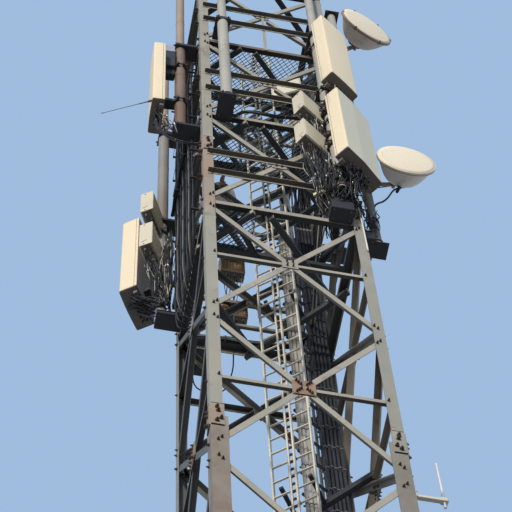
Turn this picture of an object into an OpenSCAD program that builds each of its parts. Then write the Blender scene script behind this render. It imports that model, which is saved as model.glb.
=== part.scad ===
// Square lattice tower with climbing ladder, feeder cables, antennas, radio units and dishes.
// Millimetres. The origin is under the middle of the front left base plate, Z is up.

/* [Tower] */
// Width over the outer corners of the legs
tower_w = 1760; // [1500:10:2200]
// Height of one bay of bracing
bay_h = 3000; // [2600:10:3200]
// Number of bays
bay_count = 6; // [6:1:6]
// Thickness of the leg angles
leg_t = 14; // [10:1:20]
// Flange width of the legs in the lowest stage
leg_low = 160; // [150:1:200]
// Flange width of the legs in the middle stage
leg_mid = 150; // [130:1:180]
// Flange width of the legs in the top stage
leg_top = 120; // [100:1:150]
// Height of the lower leg splice
splice_low_z = 3640; // [3400:10:4000]
// Height of the upper leg splice
splice_high_z = 10830; // [10600:10:11200]

/* [Bracing] */
// Flange width of the diagonals
diag_w = 70; // [60:1:90]
// Flange width of the horizontals
strut_w = 60; // [50:1:80]
// Thickness of the bracing angles
brace_t = 7; // [5:1:10]
// Drop of the second horizontal below the crossing in the upper bays
strut_drop = 650; // [500:10:800]

/* [Platforms] */
// Flange width of the platform edge angles
deck_w = 90; // [70:1:120]
// Thickness of the bar grating
grating_t = 30; // [25:1:40]

/* [Ladder] */
// Width over the ladder rails
ladder_w = 450; // [400:10:500]
// Distance from rung to rung
rung_pitch = 300; // [250:10:300]
// Distance of the ladder from the tower axis, towards the rear right leg
ladder_off = 150; // [100:10:200]
// Turn of the ladder from the rear face towards the right face
ladder_turn = 36; // [30:1:45]

/* [Antenna pipes] */
// Outer diameter of the antenna pipes
pipe_d = 140; // [114:1:160]
// Outer diameter of the slimmer pipes above the collars
pipe_top_d = 114; // [89:1:120]
// Distance of the pipes from the tower axis, along the face
pipe_along = 620; // [600:10:640]
// Gap between the tower face and the pipe axis
pipe_out = 220; // [200:10:260]
// Height of the lower ends of the upper pipes
pipe_low_z = 11920; // [11800:10:12400]
// Height of the collars
collar_z = 15150; // [14900:10:15400]

/* [Hidden] */
$fn = 32;
half_w = tower_w / 2;
height = bay_h * bay_count;
plate_t = 25;
plate_w = 360;
plate_bolt = 260;
plate_hole = 30;
leg_axis = half_w - leg_low / 2;
face_gap = half_w + pipe_out;
deck_levels = [9000, 12000, 15000];
beam_levels = [1550, 4550, 16550];
gusset_t = 10;
bracket_h = 70;
node_gap = 120;
edge_gap = 45;

// Everything is drawn about the tower axis and moved so that the origin is under one base plate
module about_axis() translate([leg_axis, leg_axis, 0]) children();

// Faces are numbered 0 front, 1 right, 2 rear, 3 left; X runs along the face and Y into the tower
module on_face(i) rotate(90 * i) translate([0, -half_w, 0]) children();

module angle_profile(w, t) {
    translate([0, -w / 2]) square([t, w]);
    translate([0, w / 2 - t]) square([w, t]);
}

// Angle bar in a face from a to b, each [along, height], lying at a depth behind the face
module face_bar(a, b, w, depth = leg_t) {
    run = b - a;
    translate([a[0], depth, a[1]]) rotate([0, -atan2(run[1], run[0]), 0])
        rotate([90, 0, 90]) linear_extrude(norm(run)) angle_profile(w, brace_t);
}

module leg_stage(w, z0, z1)
    translate([-half_w, -half_w, z0]) linear_extrude(z1 - z0)
        polygon([[0, 0], [w, 0], [w, leg_t], [leg_t, leg_t], [leg_t, w], [0, w]]);

// Corners are numbered 0 front left, 1 front right, 2 rear right, 3 rear left
module leg(i) color("darkgray") about_axis() rotate(90 * i) {
    leg_stage(leg_low, plate_t, splice_low_z);
    leg_stage(leg_mid, splice_low_z, splice_high_z);
    leg_stage(leg_top, splice_high_z, height);
}

module leg_front_left() leg(0);
module leg_front_right() leg(1);
module leg_rear_right() leg(2);
module leg_rear_left() leg(3);

module base_plates() color("gray") about_axis() for (i = [0:3]) rotate(90 * i)
    translate([-leg_axis, -leg_axis, 0]) difference() {
        translate([-plate_w / 2, -plate_w / 2, 0]) cube([plate_w, plate_w, plate_t]);
        for (x = [-1, 1], y = [-1, 1]) translate([x * plate_bolt / 2, y * plate_bolt / 2, -1])
            cylinder(d = plate_hole, h = plate_t + 2);
    }

// Two cover plates on the outside of a leg, over the joint between two stages
module splice(w, z) for (side = [0, 1]) mirror([side, -side, 0])
    translate([-half_w + 4, -half_w - gusset_t, z - 200]) cube([w - 8, gusset_t, 420]);

module leg_splices() color("saddlebrown") about_axis() for (i = [0:3]) rotate(90 * i) {
    splice(leg_mid, splice_low_z);
    splice(leg_top, splice_high_z);
}

// Angle from the edge of the top deck up to the gusset at the crossing above it
module hanger(low, high) {
    translate([-18, leg_t - gusset_t, low - 40]) cube([36, gusset_t, high - low + 45]);
    translate([8, leg_t, low + deck_w / 2]) cube([10, 40, high - low - deck_w / 2 - 5]);
}

// One bay: a whole diagonal, a second one in two halves, and the gusset plate that joins them at
// the crossing. Lower bays have a horizontal in two halves inside the legs, upper bays have two
// whole ones outside
module bay(n) {
    x = half_w - edge_gap;
    low = n * bay_h + (n == 0 ? 260 : node_gap);
    high = (n + 1) * bay_h - node_gap;
    middle = (low + high) / 2;
    slope = [x, (high - low) / 2] / norm([x, (high - low) / 2]);
    stop = 75;
    gusset = n < 2 ? [220, 290] : [170, 210];
    face_bar([-x, low], [x, high], diag_w);
    face_bar([-x, high], [0, middle] + stop * [-slope[0], slope[1]], diag_w);
    face_bar([0, middle] + stop * [slope[0], -slope[1]], [x, low], diag_w);
    if (n < bay_count / 2) for (side = [-1, 1]) mirror([side < 0 ? 1 : 0, 0, 0])
        face_bar([stop - 8, middle], [x, middle], strut_w);
    translate([-gusset[0] / 2, leg_t - gusset_t, middle - gusset[1] / 2])
        cube([gusset[0], gusset_t, gusset[1]]);
    if (n >= bay_count / 2) for (z = [middle, middle - strut_drop])
        translate([0, -brace_t, 0]) mirror([0, 1, 0]) face_bar([-x, z], [x, z], strut_w, -brace_t);
    if (n == bay_count - 1) hanger(n * bay_h, middle - gusset[1] / 2);
}

module bracing(face, bays) color("silver") about_axis() on_face(face) for (n = bays) bay(n);

module front_bracing_lower() bracing(0, [0:2]);
module front_bracing_upper() bracing(0, [3:5]);
module right_bracing_lower() bracing(1, [0:2]);
module right_bracing_upper() bracing(1, [3:5]);
module rear_bracing_lower() bracing(2, [0:2]);
module rear_bracing_upper() bracing(2, [3:5]);
module left_bracing_lower() bracing(3, [0:2]);
module left_bracing_upper() bracing(3, [3:5]);

ring_w = tower_w - 2 * leg_t;

// Four angles round the inside of the legs, each with its flat flange on top
module edge_ring(z) for (face = [0:3]) on_face(face) {
    translate([-ring_w / 2, leg_t, z - deck_w / 2]) cube([ring_w - deck_w - 2, brace_t, deck_w]);
    translate([-ring_w / 2, leg_t, z + deck_w / 2 - brace_t])
        cube([ring_w - deck_w - 2, deck_w, brace_t]);
}

// Bearers across the four corners, below the edge angles; the one at the rear right carries the
// ladder and the cable ladder
bearer_h = 90;
bearer_off = 510;

module rear_bearer(z) rotate(45) translate([bearer_off, -690, z]) cube([50, 1380, bearer_h]);

// Bearer across a corner below the deck, at a distance from the axis, from one end to the other
module corner_bearer(corner, off, low, high, z) rotate(45 + 90 * corner)
    translate([off, low, z]) cube([60, high - low, bearer_h]);

module corner_bearers(z) {
    rear_bearer(z);
    corner_bearer(1, bearer_off + 45, -490, 490, z);
    corner_bearer(2, 800, -370, 370, z - 22);
    corner_bearer(3, bearer_off - 55, -680, 490, z - 22);
}

module deck_frame(z) color("dimgray") about_axis() {
    edge_ring(z);
    corner_bearers(z - deck_w / 2 - bearer_h + 20);
}

// Braces across the corners of the top ring, below its flange
module top_braces(z) for (corner = [0:3]) rotate(45 + 90 * corner)
    translate([710, -428, z + deck_w / 2 - brace_t - 60]) cube([75, 856, 60]);

module plan_beams() color("dimgray") about_axis() {
    edge_ring(height - deck_w);
    top_braces(height - deck_w);
    for (z = beam_levels) rear_bearer(z);
}

beam_half = half_w - leg_t - deck_w - 2;

// The low deck has a beam along the rear edge of its grating, inside the edge angles
module low_deck_frame() {
    deck_frame(deck_levels[0]);
    color("dimgray") about_axis() translate([-beam_half, -350, deck_levels[0] - 40])
        cube([2 * beam_half, 60, deck_w - 6]);
}
module middle_deck_frame() deck_frame(deck_levels[1]);
module top_deck_frame() deck_frame(deck_levels[2]);

grating_x = -half_w + 170;
grating_y = -half_w + 60;

// Panel of grating on a deck, from its front left corner in plan, [width, depth]
module grating_panel(z, corner, size) color("slategray") about_axis()
    translate([corner[0], corner[1], z + deck_w / 2]) cube([size[0], size[1], grating_t]);

module low_deck_grating() grating_panel(deck_levels[0], [grating_x, grating_y], [430, 520]);
module middle_deck_grating()
    grating_panel(deck_levels[1], [grating_x, grating_y], [tower_w - 340, 700]);

// The top grating is open round the ladder
module top_deck_grating() {
    grating_panel(deck_levels[2], [grating_x, grating_y], [tower_w - 340, 718]);
    grating_panel(deck_levels[2], [grating_x, -100], [570, 280]);
    grating_panel(deck_levels[2], [360, -100], [-grating_x - 360, 280]);
}

// The ladder stands across the tower; X points from the climber to the rear right leg
module on_ladder() about_axis() rotate(45) translate([ladder_off, 0, 0])
    rotate(45 - ladder_turn) children();

ladder_low = 350;
ladder_high = height - 150;
rail_w = 45;
rail_t = 16;

module ladder() color("gainsboro") on_ladder() {
    for (side = [-1, 1]) translate([-rail_w / 2, side * (ladder_w - rail_t) / 2 - rail_t / 2, ladder_low])
        cube([rail_w, rail_t, ladder_high - ladder_low]);
    for (z = [ladder_low + 150 : rung_pitch : ladder_high - 50])
        translate([0, ladder_w / 2 - rail_t / 2, z]) rotate([90, 0, 0])
            cylinder(d = 24, h = ladder_w - rail_t, $fn = 8);
}

module fall_arrest_rail() color("silver") on_ladder() for (side = [-1, 1])
    translate([-12 - 22, side * 30 - 10, ladder_low]) cube([22, 20, ladder_high - ladder_low]);

module ladder_brackets() color("gray") on_ladder() for (z = concat(beam_levels, deck_levels))
    for (side = [-1, 1]) translate([rail_w / 2, side * 150 - 20, z + 30]) cube([330 - side * 20, 40, 40]);

cable_x = 660;
cable_y = 650;

// Ladder behind the feeders, held to the rear right leg by arms
module cable_ladder() color("darkgray") about_axis() translate([cable_x, cable_y, 0]) {
    for (side = [-1, 1]) translate([side * 115 - 10, 0, 200]) cube([20, 50, 13200]);
    for (z = [600 : 900 : 13200]) translate([-115, 15, z]) cube([230, 20, 30]);
    for (z = [800 : 1500 : 12800]) translate([105, 50, z])
        cube([20, half_w - leg_t - cable_y - 50, 40]);
}

module feeder_cables() color("black") about_axis() translate([cable_x, cable_y, 0])
    for (row = [0:2], n = [-2:2]) translate([n * 42, -25 - row * 42, 0])
        cylinder(d = 36, h = 13300 - row * 500, $fn = 12);

module grey_cables() color("gray") about_axis() translate([320, 350, 0])
    for (n = [-1:1]) translate([n * 42, 0, 0]) cylinder(d = 38, h = 11600, $fn = 12);

// Pipes stand off each face beside both legs
module at_pipe(face, side) rotate(90 * face) translate([side * pipe_along, -face_gap, 0]) children();

// Square plate that closes the end of a pipe
end_plate_w = 200;
end_plate_t = 12;

module end_plate(z) translate([-end_plate_w / 2, -end_plate_w / 2, z])
    cube([end_plate_w, end_plate_w, end_plate_t]);

module upper_pipes() color("lightgray") about_axis() for (face = [0:3], side = [-1, 1])
    at_pipe(face, side) {
        translate([0, 0, pipe_low_z]) cylinder(d = pipe_d, h = collar_z - pipe_low_z);
        translate([0, 0, collar_z]) cylinder(d = pipe_top_d, h = height - collar_z);
        end_plate(height - end_plate_t);
    }

// [face, side, height of the foot] of the pipes that reach down to the low deck
lower_places = [[0, 1, 9400], [1, -1, 9000], [2, 1, 9000], [2, -1, 9400], [3, -1, 9070]];

module lower_pipes() color("lightgray") about_axis() for (p = lower_places) at_pipe(p[0], p[1]) {
    translate([0, 0, p[2]]) cylinder(d = pipe_top_d, h = pipe_low_z - bracket_h - p[2]);
    if (p[2] == deck_levels[0]) end_plate(p[2] - end_plate_t);
}

// Box bracket from the edge angle of a deck out to a reach, with its top at a height
module box_bracket(z, h, w, reach) translate([-w / 2, pipe_out + leg_t - reach, z - h])
    cube([w, reach, h]);

// Boxes below the upper pipes, collars round them, and the boxes that hold the lower pipes
module pipe_brackets() color("dimgray") about_axis() {
    for (face = [0:3], side = [-1, 1]) at_pipe(face, side) {
        box_bracket(pipe_low_z, bracket_h, 190, pipe_out + 100);
        difference() {
            box_bracket(collar_z, 90, 190, pipe_out + 90);
            translate([0, 0, collar_z - 100]) cylinder(d = pipe_d, h = 110);
        }
    }
    for (p = lower_places) at_pipe(p[0], p[1])
        if (p[0] == 3) box_bracket(p[2], 80, 190, pipe_out + leg_t + 60);
        else box_bracket(deck_levels[0] + 200, 230, 250, pipe_out + leg_t - pipe_top_d / 2);
}

module rounded_slab(depth, width, r) {
    translate([-depth / 2 + r, -width / 2]) square([depth - 2 * r, width]);
    translate([-depth / 2, -width / 2 + r]) square([depth, width - 2 * r]);
    for (x = [-1, 1], y = [-1, 1]) translate([x * (depth / 2 - r), y * (width / 2 - r)]) circle(r);
}

// Panel antenna at a place in plan, turned to its bearing, [depth, width, height]
module panel(place, bearing, size) about_axis() translate(place) rotate(bearing)
    linear_extrude(size[2]) rounded_slab(size[0], size[1], 30);

module right_upper_panel() color("beige") panel([741, -1305, 12400], -56, [200, 454, 2470]);
module right_lower_panel() color("beige") panel([809, -1246, 9710], -52, [207, 600, 2160]);
module left_upper_panel() color("beige") panel([-1400, -655, 12160], 178, [160, 450, 2330]);
module left_lower_panel() color("beige") panel([-1350, 810, 9680], 147, [225, 520, 2150]);

// Clamp block between a pipe and what it carries, from one reach to the next
module clamp_block(place, bearing, z, reach) translate([place[0], place[1], z]) rotate(bearing)
    translate([reach[0], -60, 0]) cube([reach[1] - reach[0], 120, 80]);

module panel_brackets() color("gray") about_axis() {
    for (z = [12700, 14500]) clamp_block([pipe_along, -face_gap], -56, z, [pipe_d / 2, 138]);
    for (z = [9900, 11500]) clamp_block([pipe_along, -face_gap], -52, z, [pipe_top_d / 2, 128]);
    for (z = [12800, 14200]) clamp_block([-face_gap, -pipe_along], 178, z, [pipe_d / 2, 220]);
    for (z = [9900, 11500]) clamp_block([-face_gap, pipe_along], 143, z, [pipe_top_d / 2, 195]);
    clamp_block([-190, half_w], 90, 10440, [brace_t, 67]);
    clamp_block([-190, half_w], 90, 11960, [-leg_t, 67]);
}

module radio_unit(place, bearing, size) about_axis() translate(place) rotate(bearing)
    translate([-size[0] / 2, -size[1] / 2, 0]) cube(size);

module right_radio_units() color("beige") {
    radio_unit([370, -1075, 10640], -57, [165, 405, 590]);
    radio_unit([393, -1075, 11690], -57, [165, 405, 590]);
}

module left_radio_units() color("beige") {
    radio_unit([-1243, 478, 10380], 150, [165, 405, 680]);
    radio_unit([-1243, 478, 11480], 150, [165, 405, 610]);
}

module rear_radio_units() color("beige") {
    radio_unit([-170, half_w + 150, 10300], 90, [165, 300, 450]);
    radio_unit([-170, half_w + 150, 11650], 90, [165, 300, 500]);
}

// Dish with its bowl behind the rim; it looks along +X
module dish(place, bearing, tilt, d) about_axis() translate(place) rotate(bearing) rotate([0, tilt, 0])
    rotate([0, 90, 0]) rotate_extrude($fn = 64)
        polygon([[0, -330], [90, -330], [d / 2 - 40, -90], [d / 2, -40], [d / 2, 0], [0, 30]]);

module lower_dish() color("beige") dish([1518, -1000, 11090], -88, 5, 710);
module upper_dish() color("beige") dish([1443, -1000, 16510], -68, 3, 800);

module rear_drum() color("gray") dish([-230, 1420, 15000], 90, 0, 600);

module dish_mounts() color("gray") about_axis() {
    for (m = [[11090, 280], [16510, 190]]) translate([face_gap + pipe_d / 2, -665, m[0] - 60])
        cube([m[1], 80, 120]);
    translate([-270, half_w - leg_t, 14955]) cube([80, 220, 80]);
}

// Cables that run from the aerials to the feeders, each [diameter, points about the tower axis]
jumper_routes = [
    [22, [[1518, -655, 11040], [1505, -668, 11000], [1460, -680, 10940], [1400, -680, 10830],
        [1320, -675, 10670], [1230, -660, 10540], [1176, -640, 10400], [1170, -620, 9900],
        [1120, -545, 9500], [1000, -500, 9250], [850, -480, 9090]]],
    [70, [[370, -1075, 10640], [380, -1040, 10480], [410, -950, 10200], [440, -850, 9950],
        [470, -740, 9800], [500, -400, 9500], [540, 0, 9350], [590, 400, 9300], [610, 560, 9350]]],
    [60, [[809, -1246, 9710], [790, -1200, 9560], [700, -1080, 9480], [590, -900, 9620],
        [520, -780, 9760]]],
    [50, [[560, -1010, 11850], [520, -960, 12060], [400, -935, 12140], [200, -930, 12125],
        [0, -920, 12130], [-250, -915, 12150], [-400, -900, 12110], [-470, -890, 12000],
        [-535, -920, 11900]]],
    [40, [[-1400, -655, 12160], [-1400, -665, 11900], [-1385, -685, 11650], [-1330, -705, 11450],
        [-1234, -720, 11250], [-1104, -735, 11140], [-990, -745, 11115], [-875, -750, 11135]]],
    [60, [[-1243, 400, 10380], [-1230, 410, 10250], [-1190, 430, 10050], [-1130, 500, 9850],
        [-1060, 600, 9720], [-1000, 650, 9600]]],
    [50, [[-1330, 790, 9680], [-1325, 740, 9580], [-1260, 650, 9530], [-1150, 600, 9520],
        [-1040, 610, 9560], [-1000, 650, 9600]]],
    [45, [[-1010, 600, 11600], [-1000, 605, 11000], [-995, 610, 10300], [-1000, 650, 9600],
        [-940, 760, 9300], [-850, 800, 9110]]],
    [90, [[610, 600, 9300], [500, 680, 9160], [300, 740, 9120], [0, 770, 9100], [-350, 760, 9100],
        [-600, 790, 9100], [-850, 800, 9110]]],
    [90, [[-990, -530, 12050], [-985, -300, 12020], [-980, 0, 12010], [-985, 300, 12020],
        [-990, 530, 12050]]],
    [16, [[-620, 1080, 9000], [-650, 1140, 8800], [-600, 1180, 8620], [-450, 1200, 8560],
        [-300, 1150, 8600], [-230, 1000, 8800], [-240, 850, 9000]]],
];

module tube(d, points) for (n = [1 : len(points) - 1]) hull() {
    translate(points[n - 1]) sphere(d = d, $fn = 8);
    translate(points[n]) sphere(d = d, $fn = 8);
}

module jumper_cables() color("black") about_axis() for (route = jumper_routes)
    tube(route[0], route[1]);

module whip_antenna() color("white") about_axis() {
    translate([half_w, -half_w + 20, 2700]) cube([290, 40, 40]);
    translate([half_w + 255, -half_w + 40, 2600]) cylinder(d = 28, h = 830);
}

module side_rod() color("gray") about_axis()
    translate([-1480, -830, 12200]) rotate([0, -90, -25]) cylinder(d = 16, h = 630, $fn = 8);

base_plates();
leg_front_left();
leg_front_right();
leg_rear_left();
leg_rear_right();
leg_splices();
front_bracing_lower();
front_bracing_upper();
right_bracing_lower();
right_bracing_upper();
rear_bracing_lower();
rear_bracing_upper();
left_bracing_lower();
left_bracing_upper();
plan_beams();
low_deck_frame();
middle_deck_frame();
top_deck_frame();
low_deck_grating();
middle_deck_grating();
top_deck_grating();
ladder();
fall_arrest_rail();
ladder_brackets();
cable_ladder();
feeder_cables();
grey_cables();
jumper_cables();
upper_pipes();
lower_pipes();
pipe_brackets();
right_upper_panel();
right_lower_panel();
left_upper_panel();
left_lower_panel();
panel_brackets();
right_radio_units();
left_radio_units();
rear_radio_units();
upper_dish();
lower_dish();
rear_drum();
dish_mounts();
whip_antenna();
side_rod();
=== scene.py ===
"""Looks of a square lattice cell tower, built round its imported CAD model. Metres, row frame."""

import math
import random

import bpy
from mathutils import Matrix, Vector


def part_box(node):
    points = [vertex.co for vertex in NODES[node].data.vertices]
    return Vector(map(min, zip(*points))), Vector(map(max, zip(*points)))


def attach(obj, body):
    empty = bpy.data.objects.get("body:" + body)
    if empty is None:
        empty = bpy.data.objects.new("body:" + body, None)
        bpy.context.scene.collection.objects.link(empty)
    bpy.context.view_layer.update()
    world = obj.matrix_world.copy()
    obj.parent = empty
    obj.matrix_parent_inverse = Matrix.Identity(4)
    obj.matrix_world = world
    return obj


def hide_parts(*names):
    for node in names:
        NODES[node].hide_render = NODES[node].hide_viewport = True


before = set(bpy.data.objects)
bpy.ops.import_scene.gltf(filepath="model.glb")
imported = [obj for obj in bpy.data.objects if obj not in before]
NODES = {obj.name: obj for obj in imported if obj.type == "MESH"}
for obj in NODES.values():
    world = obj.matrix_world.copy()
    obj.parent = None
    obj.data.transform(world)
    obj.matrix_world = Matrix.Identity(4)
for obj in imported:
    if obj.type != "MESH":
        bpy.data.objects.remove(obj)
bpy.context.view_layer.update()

# Driving dimensions, from the legs
LEG_LOW, LEG_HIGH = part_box("leg_front_left")[0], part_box("leg_rear_right")[1]
HALF_W = (LEG_HIGH.x - LEG_LOW.x) / 2
HEIGHT = LEG_HIGH.z
BAYS = 6
BAY = HEIGHT / BAYS
AXIS = Matrix.Translation(((LEG_LOW.x + LEG_HIGH.x) / 2, (LEG_LOW.y + LEG_HIGH.y) / 2, 0))
LEG_T = 0.014

# Antenna pipes
PIPE_ALONG = 0.62
PIPE_OUT = 0.22
PIPE_R = 0.07
PIPE_TOP_R = 0.057
PIPE_LOW_Z = 11.92
COLLAR_Z = 15.15
PIPE_BOX_H, COLLAR_BOX_H = 0.07, 0.09
LOWER_PIPES = ((0, 1, 9.4), (1, -1, 9.0), (2, 1, 9.0), (2, -1, 9.4), (3, -1, 9.07))


def turn(degrees, axis="Z"):
    return Matrix.Rotation(math.radians(degrees), 4, axis)


def move(x, y, z):
    return Matrix.Translation((x, y, z))


def on_face(face):
    """0 front, 1 right, 2 rear, 3 left; X runs along the face and Y into the tower."""
    return AXIS @ turn(90 * face) @ move(0, -HALF_W, 0)


def at_pipe(face, side):
    """Axis of a pipe beside the left or right leg of a face."""
    return on_face(face) @ move(side * PIPE_ALONG, -PIPE_OUT, 0)


def at(x, y, z, bearing=0, tilt=0):
    """A place about the tower axis, turned so that X points along the bearing."""
    return AXIS @ move(x, y, z) @ turn(bearing) @ turn(tilt, "Y")


# Camera
CAMERA_PLACE = (-2.745, -9.902, -15.541)
CAMERA_AZIMUTH, CAMERA_ELEVATION, CAMERA_ROLL = 14.834, 68.0, -4.486
CAMERA_LENS, CAMERA_SENSOR = 170.45, 36


def make_camera():
    """Camera of the photo, as fitted to the legs, the horizontals and the crossings."""
    camera = bpy.data.objects.new("camera", bpy.data.cameras.new("camera"))
    bpy.context.scene.collection.objects.link(camera)
    az, el, roll = map(math.radians, (CAMERA_AZIMUTH, CAMERA_ELEVATION, CAMERA_ROLL))
    forward = Vector((math.sin(az) * math.cos(el), math.cos(az) * math.cos(el), math.sin(el)))
    level = Vector((math.cos(az), -math.sin(az), 0))
    over = level.cross(forward)
    right = level * math.cos(roll) + over * math.sin(roll)
    up = over * math.cos(roll) - level * math.sin(roll)
    facing = Matrix((right, up, -forward)).transposed().to_4x4()
    camera.matrix_world = AXIS @ move(*CAMERA_PLACE) @ facing
    camera.data.lens, camera.data.sensor_width = CAMERA_LENS, CAMERA_SENSOR
    camera.data.clip_start, camera.data.clip_end = 1, 400
    bpy.context.scene.camera = camera


make_camera()


# Materials

def adder(tree):
    """A function that adds a node to a tree, sets its values and links its inputs."""
    def add(kind, link=(), **values):
        node = tree.nodes.new(kind)
        for key, value in values.items():
            if key.startswith("in_"):
                node.inputs[key[3:].replace("_", " ")].default_value = value
            else:
                setattr(node, key, value)
        for socket, source in dict(link).items():
            tree.links.new(source, node.inputs[socket])
        return node

    return add


def shader(name):
    """A material with its node tree, its main shader and a function that adds and links nodes."""
    mat = bpy.data.materials.new(name)
    mat.use_nodes = True
    tree = mat.node_tree
    return mat, tree, tree.nodes["Principled BSDF"], adder(tree)


def pattern(add, place, stretch, scale, detail=4.0, rough=0.55):
    """Noise in object space, stretched by a factor on each axis."""
    scaled = add("ShaderNodeMapping", {"Vector": place}, in_Scale=stretch)
    return add("ShaderNodeTexNoise", {"Vector": scaled.outputs[0]}, in_Scale=scale,
               in_Detail=detail, in_Roughness=rough).outputs[0]


def ramp(add, source, low, high, first=(0, 0, 0, 1), last=(1, 1, 1, 1)):
    """Colour that goes from the first to the last between two limits of a source."""
    node = add("ShaderNodeValToRGB", {0: source})
    node.color_ramp.elements[0].position, node.color_ramp.elements[1].position = low, high
    node.color_ramp.elements[0].color, node.color_ramp.elements[1].color = first, last
    return node.outputs[0]


def span(add, value, low, high):
    """Nought at the first limit and one at the second."""
    return add("ShaderNodeMapRange", {0: value}, in_From_Min=low, in_From_Max=high).outputs[0]


def mix(add, factor, first, last, blend="MIX"):
    """Two colours mixed by a factor; the last one is a socket or a plain colour."""
    node = add("ShaderNodeMix", {0: factor, 6: first}, data_type="RGBA", blend_type=blend)
    if isinstance(last, tuple):
        node.inputs[7].default_value = last
    else:
        node.id_data.links.new(last, node.inputs[7])
    return node.outputs[2]


def maths(add, operation, first, second=None, third=None):
    """Result of a sum on one to three sockets or numbers."""
    node = add("ShaderNodeMath", operation=operation)
    for socket, value in zip(node.inputs, (first, second, third)):
        if isinstance(value, (int, float)):
            socket.default_value = value
        elif value is not None:
            node.id_data.links.new(value, socket)
    return node.outputs[0]


def within(add, value, low, high):
    """One where a value lies between two limits, and nought elsewhere."""
    return maths(add, "COMPARE", value, (low + high) / 2, (high - low) / 2)


# How strong a band of old rust is along its height
BAND_FADE = ((0.25, 0.5), (0.85, 0.8), (0.97, 0.6))


def grey(value):
    """A neutral colour."""
    return (value, value, value, 1)


def rust_band(add, height, run, low, high):
    """Share of old rust that thins out towards both ends of a stretch of height."""
    fade = add("ShaderNodeValToRGB", {0: span(add, height, low, high)})
    fade.color_ramp.elements[0].color = fade.color_ramp.elements[1].color = grey(0)
    for t, share in BAND_FADE:
        fade.color_ramp.elements.new(t).color = grey(share)
    return maths(add, "MULTIPLY", fade.outputs[0], ramp(add, run, 0.35, 0.62))


def weathered(name, light, dark, rust=None, rusty=0.0, streak=0.0, metal=0.0, rough=(0.45, 0.7),
              grain=0.12, mottle=3.0, bands=(), underside_shade=0.0, gloss=0.5, finish=None):
    """Mottled surface with rust in patches and in streaks that run down it, and painted shade on
    faces that look down.
    """
    mat, tree, main, add = shader(name)
    place = add("ShaderNodeTexCoord").outputs["Object"]
    height = add("ShaderNodeSeparateXYZ", {0: place}).outputs[2]
    cloud = pattern(add, place, (1, 1, 0.6), mottle, 6)
    speck = pattern(add, place, (1, 1, 1), 55, 3)
    colour = ramp(add, cloud, 0.32, 0.68, (*dark, 1), (*light, 1))
    colour = mix(add, ramp(add, speck, 0.35, 0.75), colour, (*[0.86 * c for c in light], 1))
    if rust:
        patch = pattern(add, place, (1, 1, 0.8), 2.3, 8, 0.65)
        run = pattern(add, place, (11, 11, 0.55), 1.0, 6, 0.6)
        shade = ramp(add, pattern(add, place, (1, 1, 1), 24, 5), 0.3, 0.7,
                     (*[0.55 * c for c in rust], 1), (*rust, 1))
        colour = mix(add, ramp(add, patch, 0.66 - 0.3 * rusty, 0.80 - 0.2 * rusty), colour, shade)
        colour = mix(add, ramp(add, run, 0.72 - 0.25 * streak, 0.90 - 0.15 * streak), colour, shade)
        for low, high in bands:
            colour = mix(add, rust_band(add, height, run, low, high), colour, shade)
    if finish:
        colour = finish(add, place, colour, cloud)
    if underside_shade:
        # Painted shade on faces that look down, darker by the given share
        facing = add("ShaderNodeSeparateXYZ", {0: add("ShaderNodeNewGeometry").outputs["Normal"]})
        down = span(add, facing.outputs[2], -0.25, -0.7)
        colour = mix(add, down, colour, grey(1 - underside_shade), "MULTIPLY")
    tree.links.new(colour, main.inputs["Base Color"])
    main.inputs["Specular IOR Level"].default_value = gloss
    spread = add("ShaderNodeMapRange", {0: cloud}, in_To_Min=rough[0], in_To_Max=rough[1])
    tree.links.new(spread.outputs[0], main.inputs["Roughness"])
    bump = add("ShaderNodeBump", {"Height": speck}, in_Strength=grain, in_Distance=0.002)
    tree.links.new(bump.outputs[0], main.inputs["Normal"])
    main.inputs["Metallic"].default_value = metal
    return mat


def from_axis(add, place):
    """Distance from the tower axis, measured square to the faces."""
    axes = add("ShaderNodeSeparateXYZ", {0: place})
    away = [maths(add, "ABSOLUTE", maths(add, "SUBTRACT", axes.outputs[i], AXIS.translation[i]))
            for i in (0, 1)]
    return maths(add, "MAXIMUM", *away)


# Heights between which the upper pipes turn darker and browner towards their feet
FOOT_DARKENING = (13.3, 12.55)


def pipe_stains_and_shade(add, place, colour, cloud):
    """Left pipes are rusty between the decks, pinkish above, and a darker grey below as painted
    shade; the lower right one is darkened as painted shade.
    """
    x, y, z = add("ShaderNodeSeparateXYZ", {0: place}).outputs
    # Painted shade: the lower right pipe is darkened
    right = maths(add, "MULTIPLY", within(add, x, AXIS.translation.x + 1.0, 9.0),
                  within(add, z, 0.0, PIPE_LOW_Z))
    colour = mix(add, right, colour, (0.42, 0.43, 0.42, 1), "MULTIPLY")
    front = maths(add, "LESS_THAN", y, AXIS.translation.y)
    brown = ramp(add, cloud, 0.35, 0.65, (0.16, 0.105, 0.08, 1), (0.25, 0.185, 0.145, 1))
    dull = ramp(add, cloud, 0.3, 0.7, (0.23, 0.215, 0.205, 1), (0.27, 0.262, 0.255, 1))
    foot = span(add, z, *FOOT_DARKENING)
    rust = mix(add, foot, mix(add, front, dull, brown), (0.80, 0.70, 0.65, 1), "MULTIPLY")
    pink = ramp(add, cloud, 0.35, 0.65, (0.30, 0.215, 0.165, 1), (0.33, 0.265, 0.215, 1))
    left = within(add, x, -3.0, -0.15)
    # Below the pipe boxes the left pipes take a darker grey, as painted shade
    for low, high, shade in ((0, PIPE_LOW_Z, (0.22, 0.215, 0.21, 1)),
                             (PIPE_LOW_Z, COLLAR_Z, rust), (COLLAR_Z, 99, pink)):
        part = maths(add, "MULTIPLY", left, within(add, z, low, high))
        colour = mix(add, part, colour, shade)
    return colour


def painted_shade_middle(add, place, colour, cloud):
    """Edge angles keep their colour; the bearers inside them are painted nearly black as shade."""
    inner = within(add, from_axis(add, place), 0.0, HALF_W - 0.04)
    return mix(add, inner, colour, ramp(add, cloud, 0.3, 0.7, (0.016, 0.018, 0.024, 1),
                                        (0.035, 0.038, 0.046, 1)))


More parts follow.
